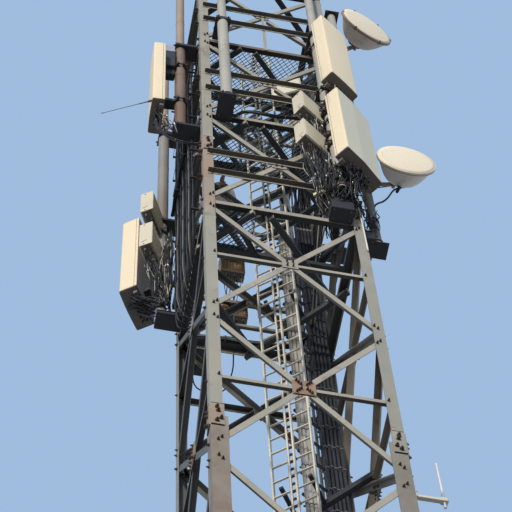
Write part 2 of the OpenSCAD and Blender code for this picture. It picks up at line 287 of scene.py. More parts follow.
# Stretches of rust on a leg: lowest and highest point, colour, strongest share
LEFT_STAINS = ((8.6, 10.8, (0.33, 0.215, 0.15, 1), 0.85),
               (-2.0, 3.8, (0.185, 0.14, 0.11, 1), 0.95))
STAIN_FADE = 0.5
RIGHT_STAINS = ((-2.0, 3.8, (0.175, 0.155, 0.13, 1), 0.95),)


def leg_stains(add, place, colour, cloud, stretches=LEFT_STAINS):
    """Pinkish rust round the low deck, and a brown stretch at the foot."""
    height = add("ShaderNodeSeparateXYZ", {0: place}).outputs[2]
    for low, high, shade, most in stretches:
        off = maths(add, "ABSOLUTE", maths(add, "SUBTRACT", height, (low + high) / 2))
        edge = span(add, off, (high - low) / 2, (high - low) / 2 - STAIN_FADE)
        part = maths(add, "MULTIPLY", edge, ramp(add, cloud, 0.25, 0.6))
        colour = mix(add, maths(add, "MULTIPLY", part, most), colour, shade)
    return colour


def painted_inner_shade(add, place, colour, cloud, shade_tint=(0.30, 0.31, 0.34, 1)):
    """Painted shade on the sides of the flanges that look into the tower."""
    inner = within(add, from_axis(add, place), 0.0, HALF_W - 0.5 * LEG_T)
    return mix(add, inner, colour, shade_tint, "MULTIPLY")


def right_stains_and_shade(add, place, colour, cloud):
    """Painted shade inside, and a brown stretch at the foot."""
    return leg_stains(add, place, painted_inner_shade(add, place, colour, cloud), cloud, RIGHT_STAINS)


def pale_inner_shade(add, place, colour, cloud):
    """Light brownish painted shade on the same sides at the right of the tower."""
    return painted_inner_shade(add, place, colour, cloud, (0.92, 0.86, 0.80, 1))


# Light and dark tone, rust, and the options of each slot's material
RUST = (0.27, 0.13, 0.07)
LEG_RUST, BRACE_RUST = (0.26, 0.165, 0.115), (0.27, 0.17, 0.11)
BRACE_TONES = ((0.39, 0.375, 0.32), (0.27, 0.26, 0.235), BRACE_RUST)
# Darker tones of leg steel: painted shade on the rear left leg, and also used for the front right
# leg
SHADE_AND_GRIME_TONES = ((0.315, 0.315, 0.285), (0.235, 0.235, 0.215), (0.23, 0.155, 0.115))
PAINT = dict(streak=0.2, rough=(0.5, 0.6), grain=0.02, mottle=1.2)
SLOT_LOOKS = {
    "leg_steel": ((0.38, 0.375, 0.32), (0.29, 0.285, 0.25), LEG_RUST,
                  dict(rusty=0.25, streak=0.45, bands=((8.6, 10.7),), underside_shade=0.5)),
    "brace_steel": (*BRACE_TONES, dict(rusty=0.35, streak=0.25, underside_shade=0.78)),
    "rusty_steel": ((0.36, 0.30, 0.25), (0.27, 0.21, 0.17), (0.25, 0.14, 0.09),
                    dict(rusty=0.55, streak=0.5, rough=(0.7, 0.9), grain=0.3)),
    "dark_steel": ((0.030, 0.034, 0.041), (0.016, 0.019, 0.025), (0.055, 0.035, 0.027),
                   dict(rusty=0.25, streak=0.2, gloss=0.3)),
    "grating_steel": ((0.07, 0.085, 0.105), (0.035, 0.045, 0.06), (0.08, 0.055, 0.04),
                      dict(rusty=0.15)),
    "ladder_steel": ((0.66, 0.64, 0.56), (0.50, 0.48, 0.42), (0.40, 0.26, 0.16),
                     dict(rusty=0.1, streak=0.15, metal=0.1)),
    "cable_ladder_steel": ((0.22, 0.23, 0.24), (0.12, 0.13, 0.135), RUST, dict(rusty=0.2)),
    "cable_grey": ((0.40, 0.385, 0.36), (0.28, 0.27, 0.25), (0.28, 0.2, 0.15),
                   dict(rusty=0.3, streak=0.4)),
    "cable_black": ((0.028, 0.030, 0.036), (0.012, 0.013, 0.017),
                    dict(rough=(0.45, 0.65), grain=0.05, mottle=9, gloss=0.25)),
    "pipe_steel": ((0.43, 0.425, 0.39), (0.34, 0.33, 0.31), (0.32, 0.21, 0.165),
                   dict(rusty=0.15, streak=0.3, finish=pipe_stains_and_shade)),
    "panel_shell": ((0.87, 0.76, 0.565), (0.83, 0.72, 0.525), (0.6, 0.48, 0.34), PAINT),
    "radio_case": ((0.70, 0.655, 0.53), (0.63, 0.585, 0.47), (0.5, 0.4, 0.28),
                   dict(streak=0.3, rough=(0.5, 0.6), grain=0.03, mottle=2)),
    "dish_shell": ((0.86, 0.80, 0.67), (0.82, 0.75, 0.62), (0.62, 0.46, 0.34),
                   dict(rusty=0.05, streak=0.2, rough=(0.45, 0.6), grain=0.02, mottle=2)),
    "whip_white": ((0.80, 0.80, 0.78), (0.70, 0.70, 0.68), dict(rough=(0.4, 0.5))),
    "rod_steel": ((0.30, 0.28, 0.26), (0.2, 0.18, 0.17), RUST, dict(rusty=0.3)),
}
MATERIALS = {name: weathered(name, *tones, **options)
             for name, (*tones, options) in SLOT_LOOKS.items()}
DARK, BLACK, PALE_STEEL, RUSTY = (MATERIALS[name] for name in (
    "dark_steel", "cable_black", "ladder_steel", "rusty_steel"))

# Legs, bracing and deck edges by the side of the tower that they stand on, several with painted
# shade or painted light
LEG_BROWN = weathered("leg_brown", (0.36, 0.355, 0.305), (0.27, 0.265, 0.235), LEG_RUST,
                      rusty=0.3, streak=0.45, underside_shade=0.5, finish=leg_stains)
# Rear left leg: darker tones and painted shade inside, for the shade it stands in
LEG_SHADED = weathered("leg_shaded", *SHADE_AND_GRIME_TONES, rusty=0.2, streak=0.45, underside_shade=0.5,
                      finish=painted_inner_shade)
# Front right leg: the same darker tones, painted shade inside and a brown stretch at the foot
LEG_RIGHT = weathered("leg_right", *SHADE_AND_GRIME_TONES, rusty=0.2, streak=0.45, underside_shade=0.5,
                      finish=right_stains_and_shade)
# Rear right leg: lighter tones as painted light, with light painted shade inside
LEG_REAR_LIT = weathered("leg_rear", (0.42, 0.41, 0.38), (0.32, 0.31, 0.29), LEG_RUST,
                     rusty=0.3, streak=0.45, underside_shade=0.1, finish=pale_inner_shade)
# Bracing with painted shade on the sides that look into the tower
BRACE_INNER_SHADE = weathered("brace_inner_shade", *BRACE_TONES, rusty=0.35, streak=0.25, underside_shade=0.78,
                        finish=painted_inner_shade)
# Right bracing: darker tones as painted shade, with light painted shade inside
BRACE_RIGHT_SHADED = weathered("brace_right_shaded", (0.29, 0.28, 0.26), (0.215, 0.205, 0.19),
                        (0.19, 0.125, 0.09), rusty=0.3, streak=0.25, underside_shade=0.2, finish=pale_inner_shade)
# Upper left bracing: dark tones that are painted shade
BRACE_SHADED = weathered("brace_shaded", (0.20, 0.195, 0.175), (0.13, 0.125, 0.115),
                        (0.14, 0.09, 0.06), rusty=0.35, streak=0.25, underside_shade=0.62)
# Deck edges whose inner bearers are painted nearly black as shade
EDGE_BROWN = weathered("edge_brown", (0.20, 0.13, 0.105), (0.11, 0.075, 0.065), (0.16, 0.08, 0.055),
                       rusty=0.4, streak=0.3, underside_shade=0.85, finish=painted_shade_middle)
EDGE_STEEL = weathered("edge_steel", (0.36, 0.34, 0.29), (0.27, 0.25, 0.22), (0.16, 0.10, 0.075),
                       rusty=0.3, streak=0.3, underside_shade=0.85, finish=painted_shade_middle)
GUSSET_RUST = weathered("gusset_rust", (0.34, 0.24, 0.18), (0.24, 0.165, 0.125),
                        (0.22, 0.11, 0.07), rusty=0.6, streak=0.4, rough=(0.7, 0.9), grain=0.3)

# Bolts, caps, clips and plugs
CAP_DARK = weathered("cap_dark", (0.17, 0.155, 0.14), (0.115, 0.105, 0.098), (0.2, 0.13, 0.09),
                     rusty=0.25, rough=(0.55, 0.75))
BOLT_RUST = weathered("bolt_rust", (0.13, 0.075, 0.055), (0.06, 0.04, 0.035), (0.2, 0.1, 0.06),
                      rusty=0.6, rough=(0.6, 0.85))
BOLT_DARK = weathered("bolt_dark", (0.07, 0.045, 0.035), (0.03, 0.025, 0.025), (0.12, 0.06, 0.04),
                      rusty=0.4, rough=(0.5, 0.8))
BRIGHT = weathered("bright_metal", (0.66, 0.66, 0.64), (0.5, 0.5, 0.49), metal=0.7,
                   rough=(0.25, 0.4), grain=0.03)
CLIP_METAL = weathered("clip_metal", (0.20, 0.205, 0.21), (0.11, 0.115, 0.12), metal=0.3,
                       rough=(0.35, 0.55), grain=0.05, mottle=12)
TAG_YELLOW = weathered("tag_yellow", (0.78, 0.72, 0.42), (0.66, 0.6, 0.34), rough=(0.45, 0.6))
CABLE_PALE = weathered("cable_pale", (0.55, 0.54, 0.50), (0.30, 0.29, 0.27), rough=(0.4, 0.6),
                       grain=0.04, mottle=8)
# A near black that stands in for the shade inside hollows
HOLLOW_SHADE = weathered("painted_hollow_shade", (0.03, 0.03, 0.032), (0.015, 0.015, 0.017), rough=(0.8, 0.95))

# Panels, radios and dishes
# Lighter and greener copies of the panel paint for two fronts: painted light on the upper right
# panel, painted shade on the lower right one
PANEL_LIT_FRONT = weathered("panel_lit_front", (0.93, 0.83, 0.63), (0.88, 0.78, 0.58), (0.6, 0.48, 0.34),
                         **PAINT)
PANEL_SHADE_GREEN = weathered("panel_shade_green", (0.71, 0.71, 0.59), (0.65, 0.655, 0.55), (0.55, 0.45, 0.34),
                        **PAINT)
# Grey-blue painted shade for the backs of the panels
PANEL_BACK_SHADE = weathered("panel_back_shade", (0.33, 0.33, 0.355), (0.25, 0.25, 0.275), (0.3, 0.22, 0.16),
                       streak=0.3, metal=0.2, rough=(0.5, 0.65))
# Tan of the rear radio units, made lighter as painted sunlight
RADIO_TAN_LIT = weathered("radio_tan_lit", (0.82, 0.64, 0.43), (0.70, 0.53, 0.34), (0.45, 0.29, 0.18),
                      rusty=0.2, streak=0.5, rough=(0.55, 0.7), mottle=2)
BOWL_GREY = weathered("bowl_grey", (0.92, 0.91, 0.90), (0.83, 0.82, 0.81), (0.66, 0.50, 0.40),
                      rusty=0.3, rough=(0.55, 0.75), grain=0.06, mottle=2)
BOWL_BROWN = weathered("bowl_brown", (0.72, 0.67, 0.63), (0.56, 0.50, 0.46), (0.50, 0.33, 0.22),
                       rusty=0.5, rough=(0.55, 0.75), grain=0.06, mottle=2)
RIM_BROWN = weathered("rim_brown", (0.40, 0.29, 0.23), (0.30, 0.21, 0.17), (0.28, 0.16, 0.12),
                      rusty=0.5, rough=(0.5, 0.7))


# Mesh code

class Shape:
    """Collects solids, given in a local frame, into one mesh in the row frame."""

    def __init__(self, place=Matrix()):
        self.place, self.verts, self.faces, self.mats, self.smooth = place, [], [], [], []
        self.index, self.soft = 0, False

    def add(self, verts, faces, place=Matrix()):
        start, whole = len(self.verts), self.place @ place
        self.verts += [whole @ Vector(v) for v in verts]
        self.faces += [[start + i for i in f] for f in faces]
        self.mats += [self.index] * len(faces)
        self.smooth += [self.soft] * len(faces)

    def loft(self, rings, place=Matrix(), closed=False):
        """Skins equal rings of points and caps both ends, unless the last ring joins the first."""
        n, m = len(rings[0]), len(rings)
        faces = []
        for k in range(m if closed else m - 1):
            a, b = k * n, ((k + 1) % m) * n
            faces += [(a + i, a + (i + 1) % n, b + (i + 1) % n, b + i) for i in range(n)]
        if not closed:
            faces += [tuple(reversed(range(n))), tuple(range((m - 1) * n, m * n))]
        self.add([v for ring in rings for v in ring], faces, place)

    def prism(self, outline, z0, z1, place=Matrix()):
        self.loft([[(x, y, z) for x, y in outline] for z in (z0, z1)], place)

    def box(self, low, high, place=Matrix(), bevel=0.0):
        (x0, y0, z0), (x1, y1, z1) = low, high
        if not bevel:
            self.prism([(x0, y0), (x1, y0), (x1, y1), (x0, y1)], z0, z1, place)
            return
        rings = []
        for z, b in ((z0, bevel), (z0 + bevel, 0), (z1 - bevel, 0), (z1, bevel)):
            c = bevel
            rings.append([(x0 + b, y0 + b + c, z), (x0 + b + c, y0 + b, z), (x1 - b - c, y0 + b, z),
                          (x1 - b, y0 + b + c, z), (x1 - b, y1 - b - c, z), (x1 - b - c, y1 - b, z),
                          (x0 + b + c, y1 - b, z), (x0 + b, y1 - b - c, z)])
        self.loft(rings, place)

    def turned(self, profile, place=Matrix(), sides=24):
        """Solid of revolution about Z from [radius, z] points; a zero radius closes an end."""
        rings = [[(r * math.cos(2 * math.pi * i / sides), r * math.sin(2 * math.pi * i / sides), z)
                  for i in range(sides)] for r, z in profile]
        self.loft(rings, place)

    def rod(self, a, b, radius, sides=10, place=Matrix()):
        a, b = Vector(a), Vector(b)
        spin = (b - a).to_track_quat("Z", "Y").to_matrix().to_4x4()
        self.turned([(radius, 0), (radius, (b - a).length)],
                    place @ Matrix.Translation(a) @ spin, sides)

    def tube(self, points, radius, sides=8, place=Matrix()):
        """Round bar along a line of points, carried without twist."""
        points = [Vector(p) for p in points]
        rings, across = [], None
        for k, p in enumerate(points):
            ahead = (points[min(k + 1, len(points) - 1)] - points[max(k - 1, 0)]).normalized()
            if across is None:
                across = ahead.orthogonal().normalized()
            across = (across - ahead * across.dot(ahead)).normalized()
            other = ahead.cross(across)
            rings.append([p + radius * (math.cos(2 * math.pi * i / sides) * across
                                        + math.sin(2 * math.pi * i / sides) * other)
                          for i in range(sides)])
        self.loft(rings, place)

    def hung(self, profile, x, y, z, sides):
        """Solid of revolution that hangs down from a point."""
        self.turned(profile, move(x, y, z) @ turn(180, "X"), sides)

    def nut(self, x, y, z, r, thick, end, shank=0.006):
        """Nut below a plate, and the end of its stud."""
        self.hung([(r, 0), (r, thick), (shank, thick + 0.001), (shank, end)], x, y, z, 6)

    def bolt(self, place, r=0.015, proud=0.03):
        """Washer, nut and thread end along -Y of the place."""
        stand = place @ turn(90, "X")
        self.turned([(1.25 * r, 0), (1.25 * r, 0.004)], stand, 10)
        self.turned([(r, 0.004), (r, 0.62 * proud)], stand, 6)
        self.turned([(0.55 * r, 0.62 * proud), (0.55 * r, proud)], stand, 6)

    def build(self, name, material, slot, *replaced):
        mesh = bpy.data.meshes.new(name)
        mesh.from_pydata(self.verts, [], self.faces)
        for mat in [material] if isinstance(material, bpy.types.Material) else material:
            mesh.materials.append(mat)
        mesh.polygons.foreach_set("material_index", self.mats)
        mesh.polygons.foreach_set("use_smooth", self.smooth)
        mesh.update()
        piece = bpy.data.objects.new(name, mesh)
        bpy.context.scene.collection.objects.link(piece)
        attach(piece, "root")
        if replaced:
            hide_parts(*replaced)
        return piece


def corners(x, y):
    """The four corners of a rectangle round the origin."""
    return [(i * x, j * y) for i in (-1, 1) for j in (-1, 1)]


def smooth_line(points, step=0.04):
    """Points along a smooth curve through the given ones."""
    points = [Vector(p) for p in points]
    ends = [2 * points[0] - points[1], *points, 2 * points[-1] - points[-2]]
    line = []
    for k in range(1, len(ends) - 2):
        a, b, c, d = ends[k - 1:k + 3]
        count = max(2, round((c - b).length / step))
        for i in range(count):
            t = i / count
            line.append(0.5 * (2 * b + (c - a) * t + (2 * a - 5 * b + 4 * c - d) * t * t
                               + (3 * b - a - 3 * c + d) * t ** 3))
    return line + [points[-1]]


# Nodes of the CAD model keep their shape and get their finish here

CARRIED = {
    "leg_steel": ["leg_front_left", "leg_front_right", "leg_rear_left", "leg_rear_right"],
    "brace_steel": [n for n in NODES if "bracing" in n],
    "rusty_steel": ["leg_splices", "base_plates"],
    "dark_steel": ["plan_beams", "low_deck_frame", "middle_deck_frame", "top_deck_frame",
                   "ladder_brackets", "panel_brackets", "dish_mounts", "pipe_brackets"],
    "ladder_steel": ["ladder"],
    "cable_ladder_steel": ["cable_ladder"],
    "pipe_steel": ["upper_pipes", "lower_pipes"],
    "rod_steel": ["side_rod"],
    "whip_white": ["whip_antenna"],
    "panel_shell": ["right_upper_panel", "right_lower_panel", "left_upper_panel",
                    "left_lower_panel"],
    "radio_case": ["right_radio_units", "left_radio_units", "rear_radio_units"],
    "dish_shell": ["upper_dish", "lower_dish", "rear_drum"],
    "cable_black": ["feeder_cables", "jumper_cables"],
    "cable_grey": ["grey_cables"],
}


OWN_FINISH = {
    "low_deck_frame": EDGE_STEEL, "middle_deck_frame": EDGE_STEEL, "top_deck_frame": EDGE_BROWN,
    "leg_rear_left": LEG_SHADED, "leg_rear_right": LEG_REAR_LIT, "leg_front_right": LEG_RIGHT,
    "leg_front_left": LEG_BROWN, "left_bracing_upper": BRACE_SHADED,
    "left_bracing_lower": BRACE_INNER_SHADE, "right_bracing_lower": BRACE_RIGHT_SHADED,
    "right_bracing_upper": BRACE_INNER_SHADE, "rear_bracing_lower": BRACE_INNER_SHADE,
    "rear_bracing_upper": BRACE_INNER_SHADE,
}


def finish_nodes():
    """Gives each node its own finish, or else that of its slot."""
    for slot_name, names in CARRIED.items():
        for name in names:
            node = NODES[name]
            node.data.materials.clear()
            node.data.materials.append(OWN_FINISH.get(name, MATERIALS[slot_name]))


finish_nodes()


# Bolts, plates and welded details of the frame

# Flange width of a leg angle and the heights between which it runs, then of its splice plates
LEG_STAGES = ((0.160, 0.025, 3.64), (0.116, 3.64, 10.83), (0.120, 10.83, 18.0))
SPLICES = ((3.64, 0.126), (10.83, 0.116))
SPLICE_T = 0.010
LEGS = ("leg_front_left", "leg_front_right", "leg_rear_right", "leg_rear_left")
SWAP_XY = Matrix(((0, 1, 0, 0), (1, 0, 0, 0), (0, 0, 1, 0), (0, 0, 0, 1)))


def at_corner(corner):
    """The outer edge of a leg, with X and Y along its two flanges."""
    return AXIS @ turn(90 * corner) @ move(-HALF_W, -HALF_W, 0)


def legs():
    """Rolled angles with eased toes and a rounded root, in three stages, at each corner."""
    toe, root, t = 0.003, 0.012, LEG_T
    for corner, name in enumerate(LEGS):
        shape = Shape(at_corner(corner))
        for w, z0, z1 in LEG_STAGES:
            shape.prism([(0, 0), (w, 0), (w, t - toe), (w - toe, t), (t + root, t),
                         (t + 0.3 * root, t + 0.3 * root), (t, t + root), (t, w - toe),
                         (t - toe, w), (0, w)], z0, z1)
        shape.build(name + "_angle", OWN_FINISH[name], "leg_steel", name)


def splice_plates():
    """Two cover plates on the outside of each leg, over the joints between stages."""
    shape = Shape()
    for corner, name in enumerate(LEGS):
        shape.place = at_corner(corner)
        shape.index = 1 if name == "leg_front_right" else 0
        for z, w in SPLICES:
            low, high = z - 0.20, z + 0.22
            shape.box((0.004, -SPLICE_T, low), (w, 0.0, high))
            shape.box((-SPLICE_T, 0.004, low), (0.0, w, high))
    shape.build("splice_plates", [RUSTY, LEG_BROWN], "rusty_steel", "leg_splices")


# Distance of the ends of the diagonals from the foot of the tower and from the other levels
FOOT_GAP, BAY_GAP = 0.26, 0.12


def bay_ends(n):
    """Heights at which the diagonals of a bay meet the legs, and of its crossing."""
    low = n * BAY + (FOOT_GAP if n == 0 else BAY_GAP)
    high = (n + 1) * BAY - BAY_GAP
    return low, high, (low + high) / 2


def through_bolt(shape, x, z, outer=0.0, inner=0.021, r=0.012):
    """Bolt through a face at a height, with its nut on the inside."""
    shape.bolt(move(x, outer, z), r, 0.03)
    shape.bolt(move(x, inner, z) @ turn(180), r, 0.012)


def node_bolts():
    """Bolts that hold the bracing to the legs and at the crossings."""
    shape = Shape()
    for face in range(4):
        shape.place = on_face(face)
        for n in range(BAYS):
            low, high, middle = bay_ends(n)
            x = HALF_W - 0.045
            slope = Vector((x, (high - low) / 2)).normalized()
            upper = n >= BAYS / 2
            for side in (-1, 1):
                for t in (0.035, 0.10):
                    through_bolt(shape, side * (x - t * slope.x), low + t * slope.y)
                    through_bolt(shape, side * (x - t * slope.x), high - t * slope.y)
                for z in (middle, middle - 0.65) if upper else (middle,):
                    through_bolt(shape, side * (x - 0.045), z, -0.007 if upper else 0.0)
            for side in (-1, 1):
                for s in (-1, 1):
                    for t in (0.055, 0.095, 0.135) if n < 2 else (0.06,):
                        through_bolt(shape, side * t * slope.x, middle + s * t * slope.y,
                                     -0.002 if n < 3 else 0.004, r=0.012 if n < 2 else 0.010)
    shape.build("node_bolts", BOLT_DARK, "rusty_steel")


def crossing_plates():
    """Cover plates with cut corners over the crossings of the lower bays."""
    shape = Shape()
    w, h, cut = 0.11, 0.145, 0.025
    outline = [(w - cut, -h), (w, cut - h), (w, h - cut), (w - cut, h), (cut - w, h),
               (-w, h - cut), (-w, cut - h), (cut - w, -h)]
    for face in range(4):
        for n in range(2):
            place = on_face(face) @ move(0, 0, bay_ends(n)[2]) @ turn(90, "X")
            shape.prism(outline, -0.0035, 0.002, place)
    shape.build("crossing_plates", GUSSET_RUST, "rusty_steel")


def splice_bolts():
    """Bolts on both flanges of each splice, and thin dark strips of painted shadow along the top
    and bottom edges of each plate.
    """
    shape = Shape()
    for corner in range(4):
        for flip in (Matrix(), SWAP_XY):
            for z, w in SPLICES:
                shape.place = (AXIS @ turn(90 * corner) @ flip
                               @ move(-HALF_W, -HALF_W - SPLICE_T, z))
                for x, dz in ((0.45, -0.14), (0.75, -0.085), (0.55, 0.06), (0.48, 0.13)):
                    shape.bolt(move(x * w, 0, dz), 0.018, 0.036)
                # Painted shadow: thin dark strips along the bottom and top edges of the plate
                for dz in (-0.2, 0.22):
                    shape.box((0.006, -0.002, dz - 0.004), (w - 0.006, 0.012, dz + 0.004))
    shape.build("splice_bolts", BOLT_DARK, "rusty_steel")


def base_details():
    """Anchor studs with nuts and washers, and gusset plates between each leg and its base plate."""
    shape = Shape()
    stud = [[(0.034, 0), (0.034, 0.005)],
            [(0.022, 0.005), (0.0235, 0.009), (0.0235, 0.026), (0.022, 0.03)],
            [(0.022, 0.031), (0.0235, 0.034), (0.022, 0.045)],
            [(0.0118 if k % 2 else 0.0105, 0.045 + 0.003 * k) for k in range(13)]]
    # A rib on the outside of each flange
    rib = [(-0.08, 0), (-0.17, 0), (-0.17, 0.02), (-0.095, 0.13), (-0.08, 0.13)]
    along_x = Matrix(((0, 0, 1, 0), (1, 0, 0, 0), (0, 1, 0, 0), (0, 0, 0, 1)))
    along_y = Matrix(((1, 0, 0, 0), (0, 0, 1, 0), (0, 1, 0, 0), (0, 0, 0, 1)))
    for corner in range(4):
        shape.place = AXIS @ turn(90 * corner) @ move(-0.8, -0.8, 0.025)
        for x, y in corners(0.13, 0.13):
            for profile, sides in zip(stud, (20, 6, 6, 12)):
                shape.turned(profile, move(x, y, 0), sides)
        shape.prism(rib[::-1], -0.006, 0.006, along_x)
        shape.prism(rib, -0.006, 0.006, along_y)
    shape.build("base_details", [RUSTY], "rusty_steel")


# Bar gratings of the three decks

GRATINGS = ("low_deck_grating", "middle_deck_grating", "top_deck_grating")
# Opening in the top grating: left and right side and front edge, from the axis
OPENING = (-0.14, 0.36, -0.10)
# Angle of the bars, their pitch and half thickness, and how far they stop below and above
GRATING_BARS = ((-45, 0.040, 0.002, 0.006, 0.0), (45, 0.064, 0.0025, 0.018, 0.002))
GRATING_W = 0.7


def clipped(a, d, x0, y0, x1, y1):
    """Ends of the line through a along d inside a rectangle, or None."""
    low, high = -9.0, 9.0
    for p, v, lo, hi in ((a.x, d.x, x0, x1), (a.y, d.y, y0, y1)):
        t0, t1 = sorted(((lo - p) / v, (hi - p) / v))
        low, high = max(low, t0), min(high, t1)
    return (a + low * d, a + high * d) if high - low > 0.01 else None


def grating_panel(shape, low_x, low_y, high_x, high_y, z0, z1):
    """Bearing bars and cross bars at 45 degrees, inside a banding frame."""
    band = 0.005
    x0, y0, x1, y1 = low_x + band, low_y + band, high_x - band, high_y - band
    for angle, pitch, half_t, drop, rise in GRATING_BARS:
        d = Vector((math.cos(math.radians(angle)), math.sin(math.radians(angle))))
        side = Vector((-d.y, d.x))
        for k in range(-60, 61):
            ends = clipped(AXIS.translation.xy + k * pitch * side, d, x0, y0, x1, y1)
            if ends:
                (ax, ay), (bx, by) = ends
                ox, oy = side * half_t
                shape.prism([(ax - ox, ay - oy), (bx - ox, by - oy), (bx + ox, by + oy),
                             (ax + ox, ay + oy)], z0 + drop, z1 - rise)
    for ax, ay, bx, by in ((low_x, low_y, high_x, y0), (low_x, y1, high_x, high_y),
                           (low_x, y0, x0, y1), (x1, y0, high_x, y1)):
        shape.box((ax, ay, z0), (bx, by, z1))
    for x in (low_x + 0.1, high_x - 0.1):
        for y in (low_y + 0.05, high_y - 0.05):
            shape.box((x - 0.03, y - 0.012, z0 - 0.004), (x + 0.03, y + 0.012, z0 + 0.008))


def grating(name):
    """Panels of grating that fill the outline of a deck, less the opening in the top one."""
    low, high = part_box(name)
    shape = Shape()
    if name.startswith("top"):
        left, right = OPENING[0] + AXIS.translation.x, OPENING[1] + AXIS.translation.x
        front = OPENING[2] + AXIS.translation.y
        areas = [(low.x, low.y, high.x, front - 0.002), (low.x, front, left, high.y),
                 (right, front, high.x, high.y)]
    else:
        parts = max(1, round((high.x - low.x) / GRATING_W))
        wide = (high.x - low.x) / parts
        areas = [(low.x + k * wide, low.y, low.x + (k + 1) * wide - 0.001, high.y)
                 for k in range(parts)]
    for area in areas:
        grating_panel(shape, *area, low.z, high.z)
    shape.build(name + "_bars", MATERIALS["grating_steel"], "grating_steel", name)


# Ladder, rail and cables

RUNG_PITCH = 0.3
RAIL_JOINTS = (3.05, 6.05, 8.75, 11.75, 14.75, 17.05)


def on_ladder():
    """Middle of the climbing ladder, with X out of its front."""
    return AXIS @ turn(45) @ move(0.15, 0, 0) @ turn(9)


def steps(low, high, pitch):
    """Heights from the lowest one up, below a limit."""
    heights = []
    z = low
    while z < high:
        heights.append(z)
        z += pitch
    return heights


def rail_details():
    """Fall arrest rail: two strips, spacers with bolts between them, and clamps on rungs."""
    shape = Shape(on_ladder())
    low, high = 0.35, HEIGHT - 0.15
    for side in (-1, 1):
        shape.box((-0.034, side * 0.030 - 0.010, low), (-0.012, side * 0.030 + 0.010, high))
        shape.box((-0.034, side * 0.037 - 0.002, low), (-0.030, side * 0.037 + 0.002, high))
    shape.index = 1
    for z in steps(low + 0.07, high, 0.15):
        shape.box((-0.030, -0.020, z - 0.012), (-0.016, 0.020, z + 0.012))
        shape.bolt(move(-0.030, 0, z) @ turn(-90), 0.009, 0.012)
    shape.index = 2
    for z in steps(low + 0.15, high, 0.9):
        shape.box((-0.012, -0.045, z - 0.016), (0.013, -0.032, z + 0.016))
        shape.box((-0.012, 0.032, z - 0.016), (0.013, 0.045, z + 0.016))
    shape.build("fall_rail", [PALE_STEEL, BOLT_RUST, DARK],
                "ladder_steel", "fall_arrest_rail")


def ladder_details():
    """Rung ends, rail joints with bolts, and clamps of the rails on their brackets."""
    shape = Shape(on_ladder())
    for side in (-1, 1):
        for z in steps(0.5, HEIGHT - 0.2, RUNG_PITCH):
            shape.turned([(0.017, 0), (0.017, 0.006)],
                         move(0, side * 0.212, z) @ turn(90 * side, "X"), 10)
            shape.turned([(0.014, 0), (0.012, 0.004)],
                         move(0, side * 0.225, z) @ turn(-90 * side, "X"), 10)
        for z in RAIL_JOINTS:
            shape.box((-0.018, side * 0.228 - 0.003, z - 0.15),
                      (0.018, side * 0.228 + 0.003, z + 0.15))
            for dz in (-0.11, -0.04, 0.04, 0.11):
                shape.bolt(move(0, side * 0.231, z + dz) @ turn(180 if side > 0 else 0),
                           0.008, 0.012)
    shape.build("ladder_details", PALE_STEEL, "ladder_steel")


CABLE_PLACE = (0.66, 0.65)
GREY_PLACE = (0.32, 0.35)
CABLE_PITCH = 0.042
FEEDER_ROWS, FEEDER_COLUMNS = 3, range(-2, 3)
# Top of the first row of feeders, and how much lower each next row ends
FEEDER_TOP, FEEDER_DROP = 13.3, 0.5
# How many clips, the height of the first and the pitch
FEEDER_CLIPS, GREY_CLIPS = (28, 0.75, 0.46), (14, 0.6, 0.8)


def clip_heights(count, first, pitch):
    """Heights of clips at an even pitch."""
    return [first + pitch * k for k in range(count)]


def feeder_place(row, n):
    """Place of one feeder about the foot of the cable ladder."""
    return n * CABLE_PITCH, -0.025 - row * CABLE_PITCH


def feeder_clips():
    """Hangers round the feeders at each level, on a bar that also takes the grey cables."""
    shape = Shape(AXIS @ move(*CABLE_PLACE, 0))
    for z in clip_heights(*FEEDER_CLIPS):
        shape.index = 0 if z < 8 else 1
        shape.box((-0.115, -0.004, z - 0.012), (0.115, 0.002, z + 0.012))
        rows = FEEDER_ROWS if z < 12.2 else 2 if z < 12.7 else 1
        front = feeder_place(rows - 1, 0)[1] - 0.018
        for n in FEEDER_COLUMNS:
            foot = z + (0.014 if n % 2 else -0.014)
            for row in range(rows):
                shape.turned([(0.0186, 0), (0.0205, 0.002), (0.0205, 0.018), (0.0186, 0.020)],
                             move(*feeder_place(row, n), foot), 10)
            x = n * CABLE_PITCH
            shape.box((x - 0.011, front - 0.012, foot), (x + 0.011, front + 0.002, foot + 0.020))
            shape.box((x - 0.024, front - 0.009, foot + 0.007),
                      (x + 0.024, front - 0.005, foot + 0.014))
        if z < 11.5:
            shape.index = 1
            for dy, radius, sides in ((0, 0.012, 4), (0.03, 0.006, 6)):
                shape.rod((-0.105, dy - 0.10, z + dy), (-0.41, dy - 0.27, z + dy), radius, sides)
    shape.build("feeder_clips", [CLIP_METAL, DARK], "cable_ladder_steel")


def grey_clips():
    """A bar with three rings every 0.8 m up the grey cables."""
    shape = Shape(AXIS @ move(*GREY_PLACE, 0))
    for z in clip_heights(*GREY_CLIPS):
        shape.box((-0.075, 0.019, z), (0.075, 0.025, z + 0.03))
        for n in (-1, 0, 1):
            shape.turned([(0.0205, 0.004), (0.0215, 0.006), (0.0215, 0.024), (0.0205, 0.026)],
                         move(n * CABLE_PITCH, 0, z), 12)
    shape.build("grey_clips", DARK, "dark_steel")


